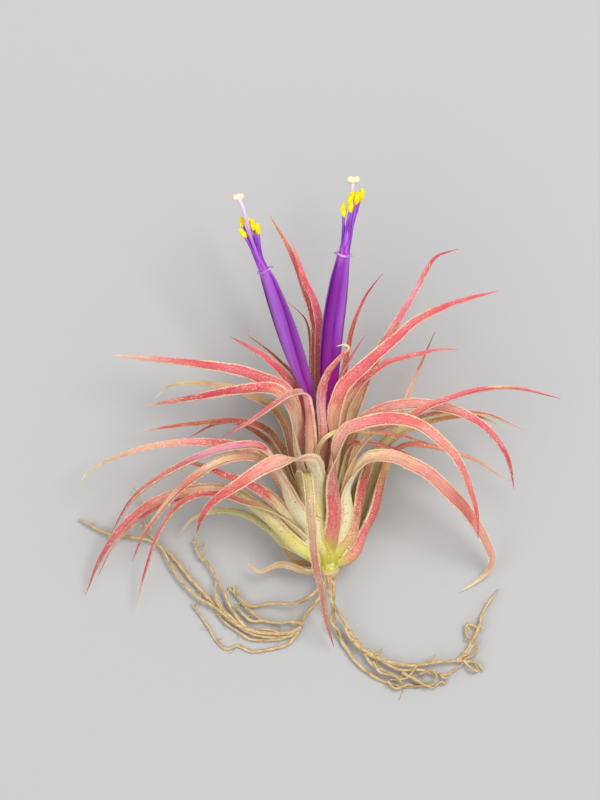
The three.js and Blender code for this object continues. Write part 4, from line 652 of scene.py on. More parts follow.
# Thin crooked strands and twigs that grow from the roots or are tangled with them.
TWIGS = {
    "roots_left": [
        (0.3, (-53.1, -25.2, 1.4), (-52.6, -26.9, 1)),
        (0.3, (-57.2, -23.4, 1.2), (-56.4, -22.2, 1.6)),
        (0.3, (-30.8, -29.3, 2), (-29.6, -28.8, 2.4), (-28.9, -27.7, 2.6)),
        (0.28, (-29.9, -31.3, 1.9), (-29, -30.9, 2.3), (-28.8, -29.6, 2.5)),
        (0.28, (-31.1, -28, 2.1), (-32.2, -27, 2.4)),
        (0.3, (-44.6, -23, 2), (-46.1, -24.9, 1.4)),
        (0.32, (-31.2, -44.4, 1), (-30.9, -42.6, 1.4)),
        (0.3, (-21.6, -40.4, 1.2), (-21.4, -38.2, 1.6)),
        (0.28, (-36.6, -34.2, 1.6), (-35.4, -34.6, 2.2)),
        (0.3, (-25.8, -41.8, 2.6), (-24.8, -43.4, 3), (-25.6, -45, 2.4)),
        (0.28, (-9.5, -50.6, 1.9), (-12.5, -49.4, 2.2), (-16.8, -49.4, 2)),
    ],
    "roots_right": [
        (0.4, (6.3, -49, 3.4), (7.8, -51.8, 3.9), (9.8, -52.4, 2.4), (11, -54.6, 3.4), (13.2, -54.8, 2),
         (15, -57, 3.1), (17, -56.8, 2.4)),
        (0.35, (3, -45.8, 4.4), (2.8, -47.6, 4.2), (4.6, -49.6, 3.2), (5.4, -51.6, 2.4)),
        (0.35, (13.6, -55.6, 2.6), (14.8, -55.4, 3.4), (15.6, -54.2, 3.4)),
        (0.32, (27.2, -58.2, 2.8), (27.8, -56.8, 3.2), (29.2, -55.6, 3.4)),
        (0.35, (13.4, -57.4, 2.2), (15, -60, 2.6), (19, -61.2, 3), (21.4, -63.8, 1.6)),
        (0.35, (17, -62.3, 1.6), (19, -64.2, 1.2), (22.4, -63.2, 1.8), (24.6, -64, 1)),
        (0.35, (24.4, -58.2, 3), (22, -61.4, 2.8), (17.4, -62, 2)),
        (0.4, (20.6, -60.2, 2.6), (23.4, -61.6, 3), (26.1, -63.2, 2), (29, -64.2, 1)),
        (0.3, (25, -60.6, 2.4), (28.2, -59.7, 2.8), (29.4, -61.4, 2.4), (26.2, -62.2, 2.6)),
        (0.3, (28.8, -63.8, 1.2), (30.4, -62.6, 1.8), (31.8, -63.2, 1.2)),
        (0.3, (30, -60.4, 1.9), (31.4, -61.6, 2.2), (33.2, -60.4, 2.4)),
        (0.38, (36, -57, 2.2), (38.2, -59.4, 2), (39.8, -59.8, 1.4), (38.9, -57.8, 1.8)),
        (0.42, (35, -56.6, 2.4), (37.4, -55, 2.8), (38.6, -53.2, 2.6), (40.4, -52.6, 2.2)),
        (0.32, (36.2, -56.8, 2.4), (39, -55.4, 2.2), (40, -53.4, 2.4)),
        (0.26, (37, -48.8, 2.2), (38, -50, 2.8), (37.4, -51.2, 2.4)),
        (0.26, (39.9, -48, 2.2), (41.4, -49.4, 2)),
    ],
}

# ---- lines and frames ----

def unit(vectors):
    return vectors / np.linalg.norm(vectors, axis=-1, keepdims=True)


def smoothstep(value, low, high):
    share = np.clip((value - low) / (high - low), 0, 1)
    return share * share * (3 - 2 * share)


def without(vectors, along):
    """What is left of vectors when their part along other directions is taken away, at length 1."""
    return unit(vectors - along * np.sum(vectors * along, axis=-1, keepdims=True))


def curve_at(points, steps):
    """Places on the centripetal Catmull-Rom curve through the points. Step 1.5 is halfway between
    the second point and the third."""
    points = np.array(points, float)
    ends = np.vstack([2 * points[0] - points[1], points, 2 * points[-1] - points[-2]])
    low = np.minimum(steps.astype(int), len(points) - 2)
    p0, p1, p2, p3 = ends[low], ends[low + 1], ends[low + 2], ends[low + 3]
    d0, d1, d2 = (
        np.sqrt(np.linalg.norm(b - a, axis=1))[:, None] for a, b in ((p0, p1), (p1, p2), (p2, p3))
    )
    m1 = ((p1 - p0) / d0 - (p2 - p0) / (d0 + d1) + (p2 - p1) / d1) * d1
    m2 = ((p2 - p1) / d1 - (p3 - p1) / (d1 + d2) + (p3 - p2) / d2) * d1
    w = (steps - low)[:, None]
    square = -3 * p1 + 3 * p2 - 2 * m1 - m2
    cube = 2 * p1 - 2 * p2 + m1 + m2
    return p1 + m1 * w + square * w**2 + cube * w**3


def even_steps(points, spacing):
    """Steps along a list of points whose places are about the spacing apart."""
    steps = []
    for i, (a, b) in enumerate(zip(points, points[1:])):
        count = max(1, round(math.dist(a, b) / spacing))
        steps += [i + k / count for k in range(count)]
    return np.array([*steps, len(points) - 1.0])


def share_of_points(points):
    """How far along the length each point lies, from 0 to 1."""
    lengths = [math.dist(a, b) for a, b in zip(points, points[1:])]
    return np.array([0, *np.cumsum(lengths)]) / sum(lengths)


def lengths_along(places):
    return np.concatenate([[0], np.cumsum(np.linalg.norm(np.diff(places, axis=0), axis=1))])


def frames_along(places, first_upper):
    """Directions along a line of places, and an upper side carried along it without twisting."""
    tangents = unit(np.gradient(places, axis=0))
    uppers = []
    upper = first_upper
    for tangent in tangents:
        upper = without(upper, tangent)
        uppers.append(upper)
    return tangents, np.array(uppers)


def rings_round(places, across, uppers, reach, angle):
    """Rings of points round a line of places. reach and angle: out from each place, and round it
    from the across side."""
    return (
        places[:, None]
        + across[:, None] * (reach * np.cos(angle))[..., None]
        + uppers[:, None] * (reach * np.sin(angle))[..., None]
    )


def ring_angles(sides):
    return -2 * math.pi * np.arange(sides) / sides


def wander(rng, along, wavelength, amount):
    """A smooth random drift along a length, with waves of about the given length."""
    drift = sum(
        np.sin(along * 2 * math.pi / (wavelength * rng.uniform(0.6, 1.6)) + rng.uniform(0, 7))
        for _ in range(3)
    )
    return drift * amount / 2


# ---- meshes ----

class Shape:
    """A mesh in the making: places, faces, and the values that the materials read at each place.
    skin: across, along and a seed, in millimetres. place: across or round, share of the length,
    and 1 on the under or inner side. scale: 1 on what takes a colour of its own, such as the small
    scales that cover a leaf."""

    def __init__(self):
        self.places = []
        self.faces = []
        self.smooth = []
        self.values = {"skin": [], "place": [], "scale": []}
        self.count = 0

    def add(self, places, faces, skin, place, scale, smooth=True):
        self.add_faces(faces + self.count, smooth)
        self.places.append(places)
        self.values["skin"].append(skin)
        self.values["place"].append(place)
        self.values["scale"].append(np.full(len(places), scale))
        self.count += len(places)

    def add_faces(self, faces, smooth):
        self.faces += faces.tolist()
        self.smooth += [smooth] * len(faces)


def triples(count, *values):
    """Three values at each point of the rings. count: rows, and points in a ring."""
    return np.stack([np.broadcast_to(value, count) for value in values], axis=-1)


def add_rings(shape, rings, skin, place, scale=0.0):
    """A skin over rings of points, with flat ends. Each array is rows by points in a ring."""
    rows, sides = rings.shape[:2]
    corner = np.arange(rows * sides).reshape(rows, sides)
    nearer = corner[:-1]
    further = corner[1:]
    faces = np.stack([nearer, np.roll(nearer, -1, 1), np.roll(further, -1, 1), further], axis=-1)
    ends = np.stack([corner[0, ::-1], corner[-1]]) + shape.count
    skin = skin.reshape(-1, 3)
    shape.add(rings.reshape(-1, 3), faces.reshape(-1, 4), skin, place.reshape(-1, 3), scale)
    shape.add_faces(ends, smooth=False)


def add_spikes(shape, base, tips, skin, place):
    """Small closed spikes. base: the three corners of each one's foot, as count by 3 by 3."""
    a, b, c = base[:, 0], base[:, 1], base[:, 2]
    turned = np.sum(np.cross(b - a, c - a) * (tips - a), axis=1) < 0
    b[turned], c[turned] = c[turned].copy(), b[turned].copy()
    corners = np.stack([a, b, c, tips], axis=1).reshape(-1, 3)
    first = np.arange(len(tips))[:, None] * 4
    pattern = np.array([(0, 2, 1), (0, 1, 3), (1, 2, 3), (2, 0, 3)])
    faces = (first[:, :, None] + pattern[None]).reshape(-1, 3)
    skin, place = np.repeat(skin, 4, axis=0), np.repeat(place, 4, axis=0)
    shape.add(corners, faces, skin, place, scale=1.0, smooth=False)


def add_tube(shape, points, radii, sides, spacing, seed, roughness):
    """A round strand through the points. radii: spread evenly over the points. roughness: how
    uneven it is, as a share of its radius."""
    rng = np.random.default_rng(seed)
    steps = even_steps(points, spacing)
    places = curve_at(points, steps)
    tangents, uppers = frames_along(places, TUBE_UPPER)
    along = lengths_along(places)
    radius = np.interp(steps, np.linspace(0, len(points) - 1, len(radii)), radii)
    uneven = 1 + np.stack([wander(rng, along, TUBE_WAVE, roughness) for _ in range(sides)], axis=1)
    reach = radius[:, None] * uneven
    rings = rings_round(places, np.cross(tangents, uppers), uppers, reach, ring_angles(sides))
    turn = np.arange(sides) / sides
    along = along[:, None]
    skin = triples(reach.shape, turn * TUBE_ROUND, along, seed * 3.7)
    add_rings(shape, rings, skin, triples(reach.shape, turn, along / along[-1], 0.0))


def add_blob(shape, centre, axes, seed, form, scale=0.0):
    """A closed rounded lump. axes: its three half axes, the long one first. form: its rows and
    sides, how uneven it is, and how deep its two lengthwise grooves are, if it has any."""
    rng = np.random.default_rng(seed)
    long_axis, second, third = axes
    angle = ring_angles(form["sides"])
    tilt = np.linspace(-math.pi / 2, math.pi / 2, form["rows"])[1:-1, None]
    reach = np.cos(tilt) * (1 - form.get("groove", 0) * np.abs(np.cos(angle)) ** 6)
    reach = reach * (1 + rng.uniform(-form["bumps"], form["bumps"], reach.shape))
    places = centre + long_axis * np.sin(tilt)
    rings = rings_round(places, second[None], third[None], reach, angle)
    turn = np.arange(form["sides"]) / form["sides"]
    place = triples(reach.shape, turn, (np.sin(tilt) + 1) / 2, 0.0)
    add_rings(shape, rings, rings - centre + seed * 3.3, place, scale)


def add_piece(name, shape, material, slot, *nodes):
    """Makes the shape a piece of the plant that stands for the given nodes."""
    mesh = bpy.data.meshes.new(name)
    places = np.concatenate(shape.places)
    places[:, 2] = np.maximum(places[:, 2], 0)
    mesh.from_pydata((places * MM).tolist(), [], shape.faces)
    mesh.polygons.foreach_set("use_smooth", shape.smooth)
    for value, kind, field in (
        ("skin", "FLOAT_VECTOR", "vector"), ("place", "FLOAT_VECTOR", "vector"),
        ("scale", "FLOAT", "value"),
    ):
        data = np.concatenate(shape.values[value]).astype(np.float32).ravel()
        mesh.attributes.new(value, kind, "POINT").data.foreach_set(field, data)
    mesh.materials.append(material)
    mesh.validate()
    piece = bpy.data.objects.new(name, mesh)
    bpy.context.scene.collection.objects.link(piece)
    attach(piece, "root")
    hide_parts(*nodes)


# ---- materials ----

def linear(colour):
    """A palette name, or red, green and blue from 0 to 255, as the renderer's own colour."""
    channels = PALETTE[colour] if isinstance(colour, str) else colour
    values = [channel / 255 for channel in channels]
    return *(v / 12.92 if v <= 0.04045 else ((v + 0.055) / 1.055) ** 2.4 for v in values), 1.0


class Value:
    """A number or a colour at each place of a surface. Sums with it add nodes to the material."""

    def __init__(self, look, socket):
        self.look = look
        self.socket = socket

    def __add__(self, other):
        return self.look.calc("ADD", self, other)

    def __sub__(self, other):
        return self.look.calc("SUBTRACT", self, other)

    def __mul__(self, other):
        return self.look.calc("MULTIPLY", self, other)

    def __truediv__(self, other):
        return self.look.calc("DIVIDE", self, other)

    def __abs__(self):
        return self.look.calc("ABSOLUTE", self)

    def band(self, low, high, least=0.0, most=1.0):
        """Its way from low to high, as a smooth share of the way from least to most."""
        inputs = {
            "Value": self, "From Min": low, "From Max": high, "To Min": least, "To Max": most,
        }
        return self.look.add("MapRange", "Result", inputs, interpolation_type="SMOOTHSTEP")


class Look:
    """A material in the making. Its colour is laid on in steps."""

    def __init__(self, name, **constants):
        self.material = bpy.data.materials.new(name)
        self.material.use_nodes = True
        self.tree = self.material.node_tree
        self.shader = self.tree.nodes["Principled BSDF"]
        for socket, value in constants.items():
            self.shader.inputs[socket.replace("_", " ")].default_value = value
        self.skin = self.add("Attribute", "Vector", attribute_name="skin")
        self.scale = self.add("Attribute", "Fac", attribute_name="scale")
        place = self.add("Attribute", "Vector", attribute_name="place")
        self.across, self.share, self.under = (self.part(place, axis) for axis in "XYZ")
        self.colour = None

    def add(self, kind, output, inputs=None, **settings):
        """Adds a node, and gives what comes out of it."""
        node = self.tree.nodes.new("ShaderNode" + kind)
        for setting, value in settings.items():
            setattr(node, setting, value)
        for socket, value in (inputs or {}).items():
            if isinstance(value, Value):
                self.tree.links.new(value.socket, node.inputs[socket])
            else:
                node.inputs[socket].default_value = value
        return Value(self, node.outputs[output])

    def part(self, vector, axis):
        return self.add("SeparateXYZ", axis, {"Vector": vector})

    def calc(self, operation, first, second=0.0, clamp=False):
        return self.add("Math", 0, {0: first, 1: second}, operation=operation, use_clamp=clamp)

    def noise(self, stretch, detail=2.0, roughness=0.5):
        """Noise over the skin. stretch: waves for each millimetre across and along."""
        inputs = {0: self.skin, 1: (*stretch, 1.0)}
        scaled = self.add("VectorMath", 0, inputs, operation="MULTIPLY")
        inputs = {"Vector": scaled, "Scale": 1.0, "Detail": detail, "Roughness": roughness}
        return self.add("TexNoise", "Fac", inputs)

    def ramp(self, value, stops):
        """stops: shares from 0 to 1 with a colour each."""
        colour = self.add("ValToRGB", "Color", {"Fac": value})
        elements = colour.socket.node.color_ramp.elements
        while len(elements) < len(stops):
            elements.new(1.0)
        for element, (position, stop) in zip(elements, stops):
            element.position = position
            element.color = linear(stop)
        return colour

    def lay(self, share, colour, blend="MIX"):
        """Lays a colour over what is there."""
        inputs = {0: share, 6: self.colour, 7: colour}
        self.colour = self.add("Mix", 2, inputs, data_type="RGBA", blend_type=blend)

    def paint(self, share, colour):
        self.lay(share, linear(colour))

    def shade(self, share, tint):
        """Darkens what is there to shares of its red, green and blue."""
        self.lay(share, (*tint, 1.0), "MULTIPLY")

    def finish(self, roughness, height, distance, strength=0.6):
        """height: what the bumps follow. distance: how high they stand."""
        inputs = {"Height": height, "Distance": distance * MM, "Strength": strength}
        bumps = self.add("Bump", "Normal", inputs)
        ends = {"Base Color": self.colour, "Roughness": roughness, "Normal": bumps}
        for socket, value in ends.items():
            self.tree.links.new(value.socket, self.shader.inputs[socket])
        return self.material


def leaf_material(name, leaf, shares):
    """The colours along the leaf, run into each other by streaks, under pale scales that are
    thickest on the margins, near the base and on the under side."""
    look = Look(name + "_skin", Sheen_Weight=0.08, Sheen_Roughness=0.5, Specular_IOR_Level=0.4)
    streaks = look.noise((2.6, 0.22), 3.0, 0.65)
    patches = look.noise((0.45, 0.13), 2.0)
    flecks = look.noise((4.0, 2.2), 3.0, 0.7)
    shift = (streaks - 0.5) * 0.14
    drift = (patches - 0.5) * 0.14
    stops = [
        (float(np.interp(index, range(len(shares)), shares)), colour)
        for index, colour in leaf["colours"].items()
    ]
    look.colour = look.ramp(look.share + (shift + drift), stops)
    bulb = (look.share + shift * 0.8).band(0.1, -0.03)
    look.paint(bulb, "bulb")

    # Richer streaks, and painted shade that darkens the channel towards the blade's middle line.
    rich = streaks.band(0.5, 0.66, most=0.7) * look.share.band(0.1, 0.4, 0.3, 1.0)
    look.shade(rich, (0.82, 0.5, 0.5))
    # Painted shade down the middle of the channel.
    aside = abs(look.across)
    look.shade(aside.band(0.6, 0.0, most=0.28), (0.7, 0.5, 0.46))

    # Distance from the nearer margin in millimetres.
    aside_mm = abs(look.part(look.skin, "X"))
    half_width = aside_mm / look.calc("MAXIMUM", aside, 0.05)
    inwards = half_width - aside_mm
    if "fold" in leaf:
        side, fold_colour = leaf["fold"]
        folded = (look.across * (1.0 if side == "right" else -1.0)).band(0.0, 0.2)
        edge = (inwards + shift * 4.0).band(0.7, 0.35, most=0.8)
        look.paint(edge * look.share.band(0.12, 0.3) * folded, fold_colour)

    # A pale line along the margin, finer where the blade is narrow, and a darker seam beside it.
    fineness = half_width.band(0.2, 1.5, 0.15, 1.0)
    ragged = inwards / fineness - flecks * 0.9
    broken = streaks.band(0.35, 0.6, 0.35, 1.0)
    margin = ragged.band(-0.02, -0.26, most=0.85) * fineness * broken
    look.shade(ragged.band(0.22, -0.02, most=0.65) * fineness, (0.8, 0.42, 0.42))

    # Painted shade where the channel folds: a dark line beside the margin that lies towards the
    # roots, on the side away from the light.
    sign = -1.0 if leaf["points"][-1][0] < 0 else 1.0
    from_line = abs(look.across * sign + shift * 1.5 - 0.66)
    crease_shade = from_line.band(0.14, 0.05, most=0.55) * look.share.band(0.15, 0.35)
    look.shade(crease_shade, (0.7, 0.34, 0.38))

    # A coat of fine scales that thins out over the bulb, the margin's line, and larger scales.
    near_base = look.share.band(0.5, 0.1, most=0.3) * bulb.band(1.0, 0.0)
    dusty = patches.band(0.35, 0.65, 0.1, 0.5)
    coat = look.calc("ADD", dusty + near_base, look.under * 0.25, clamp=True)
    coat = coat * bulb.band(1.0, 0.0, 0.3, 1.0)
    scurf = look.noise((7.5, 5.0), 2.0, 0.7).band(0.42, 0.6)
    look.paint(coat * (scurf * 0.52), "cream")
    look.paint(margin, "cream")
    threshold = dusty * -0.12 + 0.64
    look.paint((flecks - threshold).band(0.0, 0.05, most=0.8), "white")

    # Brown mottling and dark specks nearer the base.
    mottle = look.noise((6.0, 3.0), 2.0, 0.6).band(0.54, 0.66, most=0.22)
    look.paint(mottle * look.share.band(0.6, 0.25), "brown")
    specks = look.noise((2.4, 1.4), 1.0).band(0.66, 0.73, most=0.7)
    look.paint(specks * look.share.band(0.8, 0.3), "brown")
    look.paint(look.scale * 0.9, "white")
    return look.finish(flecks.band(0.4, 0.65, 0.45, 0.7), streaks + flecks, 0.3, 0.8)


def root_material():
    look = Look("root_skin", Specular_IOR_Level=0.3)
    bands = look.noise((0.6, 0.5), 4.0, 0.65)
    fibres = look.noise((2.0, 0.6), 3.0, 0.6)
    look.colour = look.ramp(bands, [
        (0.28, (150, 116, 78)), (0.42, (192, 162, 118)), (0.58, (214, 190, 146)),
        (0.75, (236, 216, 176)),
    ])
    look.paint(fibres.band(0.6, 0.75, most=0.4), (150, 106, 66))
    return look.finish(fibres.band(0.3, 0.7, 0.6, 0.85), fibres, 0.2)


def stem_material():
    """Brown at the neck, then yellow-green, with paler leaf bases and dry brown stubs."""
    look = Look("stem_skin", Specular_IOR_Level=0.4)
    patches = look.noise((0.5, 0.6), 3.0)
    fibres = look.noise((2.5, 0.5), 3.0, 0.6)
    drift = (patches - 0.5) * 0.1
    look.colour = look.ramp(look.share + drift, [
        (0.0, "rust"), (0.04, "tan"), (0.08, "straw"), (0.13, "bulb"), (0.3, "lime"), (0.5, "moss"),
        (1.0, "ivory"),
    ])
    bract = look.ramp(look.share + drift * 4.0, [
        (0.0, "tan"), (0.25, "straw"), (0.5, "bulb"), (0.8, "lime"), (1.0, "tan"),
    ])
    look.lay(look.under, bract)
    look.paint(abs(look.across).band(0.75, 1.0, most=0.7) * look.under, "cream")
    look.paint(fibres.band(0.58, 0.72, most=0.4), "olive")
    look.paint(patches.band(0.55, 0.66, most=0.7), "ivory")
    look.lay(look.scale, look.ramp(fibres, [(0.35, "brown"), (0.5, "tan"), (0.65, "straw")]))
    return look.finish(fibres.band(0.3, 0.7, 0.45, 0.7), fibres, 0.25)


def petal_material(name, bloom):
    """Deep violet, magenta near the base and pale at the bent-back rim, with fine lengthwise veins
    and a painted lilac highlight down each petal. The edge that lies on top of a neighbour is
    darker, with painted shade along the seam."""
    look = Look(name, Specular_IOR_Level=0.3)
    veins = look.noise((2.6, 0.1), 2.0, 0.6)
    grain = look.noise((7.0, 1.2), 2.0, 0.6)
    patches = look.noise((0.5, 0.12), 2.0)
    look.colour = look.ramp(look.share + (patches - 0.5) * 0.1, [
        (0.0, (206, 110, 170)), (0.18, (200, 60, 160)), (0.36, (156, 16, 136)),
        (0.55, (126, 8, 138)), (0.84, (122, 12, 146)), (0.93, (138, 36, 166)),
        (0.972, (190, 96, 200)), (1.0, (228, 182, 234)),
    ])
    # Painted highlight: a pale lilac band down each petal, placed where the light falls on it.
    middle, reach, most, start = bloom
    aside = abs(look.across - middle)
    down = look.share.band(start, start + 0.35)
    look.paint(aside.band(reach, 0.0, most=most) * down, (168, 98, 204))
    # Painted shade along the seam, where a petal's edge lies on its neighbour.
    edge = look.across.band(0.93, 1.0) * look.share.band(0.98, 0.9)
    look.paint(edge * 0.7, (50, 0, 84))
    look.paint(veins.band(0.5, 0.7, most=0.1), (160, 84, 206))
    look.paint(veins.band(0.48, 0.3, most=0.35), (66, 0, 112))
    look.paint(grain.band(0.55, 0.7, most=0.07), (190, 140, 226))
    return look.finish(veins.band(0.3, 0.7, 0.3, 0.48), veins, 0.1)


def filament_material():
    look = Look("filament_skin", Specular_IOR_Level=0.4)
    veins = look.noise((1.5, 0.3), 2.0)
    look.colour = look.ramp(look.share, [
        (0.0, (196, 80, 196)), (0.2, (150, 56, 186)), (0.6, (138, 54, 184)), (1.0, (176, 104, 214)),
    ])
    look.paint(veins.band(0.45, 0.7, most=0.5), (206, 130, 240))
    look.paint(veins.band(0.45, 0.3, most=0.6), (78, 20, 112))
    return look.finish(veins.band(0.3, 0.7, 0.35, 0.5), veins, 0.05)


def anther_material():
    look = Look("anther_skin", Specular_IOR_Level=0.25)
    grains = look.noise((6.0, 6.0), 2.0, 0.6)
    patches = look.noise((1.0, 1.0), 1.0)
    look.colour = look.ramp(patches, [
        (0.3, (248, 208, 0)), (0.5, (255, 232, 0)), (0.7, (255, 246, 70)),
    ])
    look.paint(grains.band(0.45, 0.3, most=0.6), (206, 146, 14))
    return look.finish(grains.band(0.3, 0.7, 0.6, 0.9), grains, 0.12)


def style_material():
    look = Look("style_skin", Specular_IOR_Level=0.4)
    grains = look.noise((3.0, 1.5), 2.0)
    look.colour = look.ramp(look.share, [
        (0.0, (176, 84, 206)), (0.4, (186, 116, 220)), (0.62, (206, 170, 226)),
        (0.9, (228, 208, 236)), (1.0, (240, 226, 220)),
    ])
    look.paint(look.scale, (244, 230, 196))
    look.paint(grains.band(0.55, 0.7, most=0.25), (196, 140, 210))
    return look.finish(grains.band(0.3, 0.7, 0.4, 0.6), grains, 0.05)


# ---- stem ----

STEM_AXIS = unit(STEM_TIP - NECK)
STEM_UP = without(UP, STEM_AXIS)
STEM_RIGHT = np.cross(STEM_AXIS, STEM_UP)


def around_stem(degrees):
    angle = np.radians(degrees)[..., None]
    return STEM_UP * np.cos(angle) + STEM_RIGHT * np.sin(angle)


def stem_rings(height, degrees, reach):
    return NECK + STEM_AXIS * height[:, None, None] + around_stem(degrees) * reach[..., None]


def stem_radius(height):
    return np.interp(height, *np.transpose(STEM_PROFILE))


def add_bract(shape, seed, turn, start, length, form, dry):
    """An old leaf base that hugs the stem and ends in a point. start: how far above the neck.
    length: below 0 where it hangs down. dry: 0 or 1."""
    rng = np.random.default_rng(seed)
    rise = np.linspace(0, 1, BRACT_ROWS)
    over = np.linspace(-1, 1, BRACT_COLUMNS)
    side = np.concatenate([over, over[::-1]])
    inner = np.repeat([0.0, 1.0], BRACT_COLUMNS)
    height = start + length * rise
    narrowing = np.minimum(1, (1 - rise) / BRACT_TAPER) ** TAPER_POWER
    half_angle = (form["spread"] * narrowing + BRACT_TIP)[:, None]
    sway = wander(rng, rise * BRACT_LENGTH, *BRACT_SWAY)
    degrees = turn + half_angle * side + sway[:, None]
    flutter = wander(rng, rise * BRACT_LENGTH, *BRACT_FLUTTER)
    out = BRACT_CLEARANCE + form["flare"] * rise**2 + flutter
    reach = stem_radius(height)[:, None] + out[:, None] * (1 - BRACT_HUG * side**2)
    reach = reach - BRACT_THICKNESS * inner
    rise = rise[:, None]
    skin = triples(reach.shape, side * half_angle * BRACT_ROUND, rise * abs(length), seed * 2.3)
    values = [stem_rings(height, degrees, reach), skin, triples(reach.shape, side, rise, 1.0)]
    if length < 0:
        values = [value[::-1] for value in values]
    add_rings(shape, *values, dry)


def make_stem():
    rng = np.random.default_rng(1)
    low, high = STEM_PROFILE[0][0], STEM_PROFILE[-1][0]
    height = np.arange(low, high + STEM_STEP, STEM_STEP)
    turn = np.arange(STEM_SIDES) / STEM_SIDES
    scars = SCAR_DEPTH * np.sin(2 * math.pi * height / SCAR_SPACING)
    radius = stem_radius(height) + scars * smoothstep(height, 0, 1)
    bulges = STEM_SIDES // STEM_BULGE
    uneven = np.stack([wander(rng, height, *STEM_WAVE) for _ in range(bulges)], axis=1)
    uneven = np.repeat(uneven, STEM_BULGE, axis=1)
    reach = radius[:, None] * (1 + (uneven + np.roll(uneven, STEM_BULGE // 2, 1)) / 2)
    climb = height[:, None]
    skin = triples(reach.shape, turn * STEM_ROUND, climb, 0.0)
    place = triples(reach.shape, turn, (climb - low) / (high - low), 0.0)
    shape = Shape()
    add_rings(shape, stem_rings(height, 360 * turn, reach), skin, place)
    for k in range(BRACTS):
        start = BRACT_START + BRACT_RISE * k
        add_bract(shape, k + 2, k * BRACT_TURN, start, rng.uniform(*BRACT["length"]), BRACT, 0.0)
    for k in range(STUBS):
        length = -rng.uniform(*STUB["length"])
        start = rng.uniform(*STUB["start"])
        add_bract(shape, k + 30, k * BRACT_TURN, start, length, STUB, 1.0)
    add_piece("stem_bulb", shape, stem_material(), "stem", "stem")


# ---- leaves ----

def base_points(leaf, outwards, sheath):
    """Where a leaf leaves the stem. The lower leaves start further down, on the bulb."""
    height = leaf["height"]
    if not TAIL_FOOT + 1 < height < TAIL_LIMIT:
        return [NECK + STEM_AXIS * height + outwards * BASE_REACH]
    heights = [TAIL_FOOT, (TAIL_FOOT + height) / 2, height]
    keel = CHANNEL * 2 * leaf["width"] * (1 + sheath) * (1 + CLASP_WIDTH)
    keels = np.interp(heights, [TAIL_FOOT, height], [keel * TAIL_WIDTH, keel])
    reaches = stem_radius(heights) + TAIL_LIFT + TAIL_LAYER * (TAIL_LIMIT - height) - keels
    return [NECK + STEM_AXIS * at + outwards * reach for at, reach in zip(heights, reaches)]


class Blade:
    """A leaf's middle line with its directions and its size at each place along it."""

    def __init__(self, leaf, seed):
        self.seed = seed
        self.rng = np.random.default_rng(seed)
        outwards = around_stem(np.array(leaf["around"], float))
        sheath = leaf.get("sheath", SHEATH_WIDENING)
        tail = base_points(leaf, outwards, sheath)
        points = [*tail, *np.array(leaf["points"], float)]
        steps = even_steps(points, LEAF_STEP)
        shares = share_of_points(points)
        base = len(tail) - 1
        shares = (shares - shares[base]) / (1 - shares[base])
        self.shares = shares[base:]
        self.share = np.interp(steps, range(len(points)), shares)
        self.places = curve_at(points, steps)
        self.along = lengths_along(self.places)

        self.tangents, uppers = frames_along(self.places, -outwards)
        opened = leaf.get("open", 0) * smoothstep(self.share, *leaf.get("opening", OPENING))
        opened = opened[:, None]
        skyward = without(UP, self.tangents)
        self.uppers = unit(uppers * (1 - np.abs(opened)) + skyward * opened)
        self.across = np.cross(self.tangents, self.uppers)

        narrowing = np.minimum(1, (1 - self.share) / leaf["taper"]) ** TAPER_POWER
        widening = 1 + sheath * np.clip(1 - self.share / SHEATH_END, 0, 1)
        clasp = smoothstep(self.share, CLASP_END, CLASP_FULL)
        rounding = np.sqrt(np.clip((self.share - self.share[0] + 0.002) / BASE_ROUNDING, 0, 1))
        foot = min(shares[0], -0.001)
        tail_width = TAIL_WIDTH + (1 - TAIL_WIDTH) * smoothstep(self.share, foot, 0)
        wide = leaf["width"] * narrowing * widening * rounding * tail_width
        self.width = np.maximum(TIP_WIDTH, wide * (1 + CLASP_WIDTH * clasp))
        self.margins = [
            1 + sum(wander(self.rng, self.along, *wave) for wave in MARGIN_WAVES) for _ in range(2)
        ]
        channel = 1 + wander(self.rng, self.along, *CHANNEL_WAVE) + clasp
        self.keel = -CHANNEL * self.width * channel
        self.half = BLADE / 2 * np.minimum(1, self.width / THINNING_WIDTH)
        self.lift_clear()

    def lift_clear(self):
        """Lifts the middle line where the under side would reach below the surface."""
        rows = np.arange(len(self.share))
        row, side = np.meshgrid(rows, (-1.0, -0.5, 0.0, 0.5, 1.0), indexing="ij")
        lowest = self.at(row, side, np.ones(side.shape))[..., 2].min(axis=1)
        self.places = self.places + UP * np.maximum(0, -lowest)[:, None]

    def at(self, row, side, under):
        """Places on the blade. side: -1 at its left margin to 1 at its right one. under: 0 or 1."""
        reach = np.where(side < 0, self.margins[0][row], self.margins[1][row])
        sideways = (side * reach * self.width[row] / 2)[..., None]
        thickness = self.half[row] * (1 - (1 - MARGIN_THICKNESS) * side**MARGIN_POWER)
        channel = self.keel[row] * (1 - np.abs(side) ** CHANNEL_POWER)
        up = channel + thickness * (1 - 2 * under)
        return self.places[row] + self.across[row] * sideways + self.uppers[row] * up[..., None]

    def values(self, row, side, under):
        """What the leaf's material reads at places on the blade."""
        seeds = np.full(np.shape(side), self.seed * 5.3) + under * 2.9
        skin = np.stack([side * self.width[row] / 2, self.along[row], seeds], -1)
        return skin, np.stack([side, self.share[row], under], -1)


def add_blade(shape, blade):
    over = np.sin(np.linspace(-math.pi / 2, math.pi / 2, LEAF_COLUMNS))
    side = np.concatenate([over, over[::-1]])
    row, side = np.meshgrid(np.arange(len(blade.share)), side, indexing="ij")
    under = np.broadcast_to(np.repeat([0.0, 1.0], LEAF_COLUMNS), side.shape)
    add_rings(shape, blade.at(row, side, under), *blade.values(row, side, under))


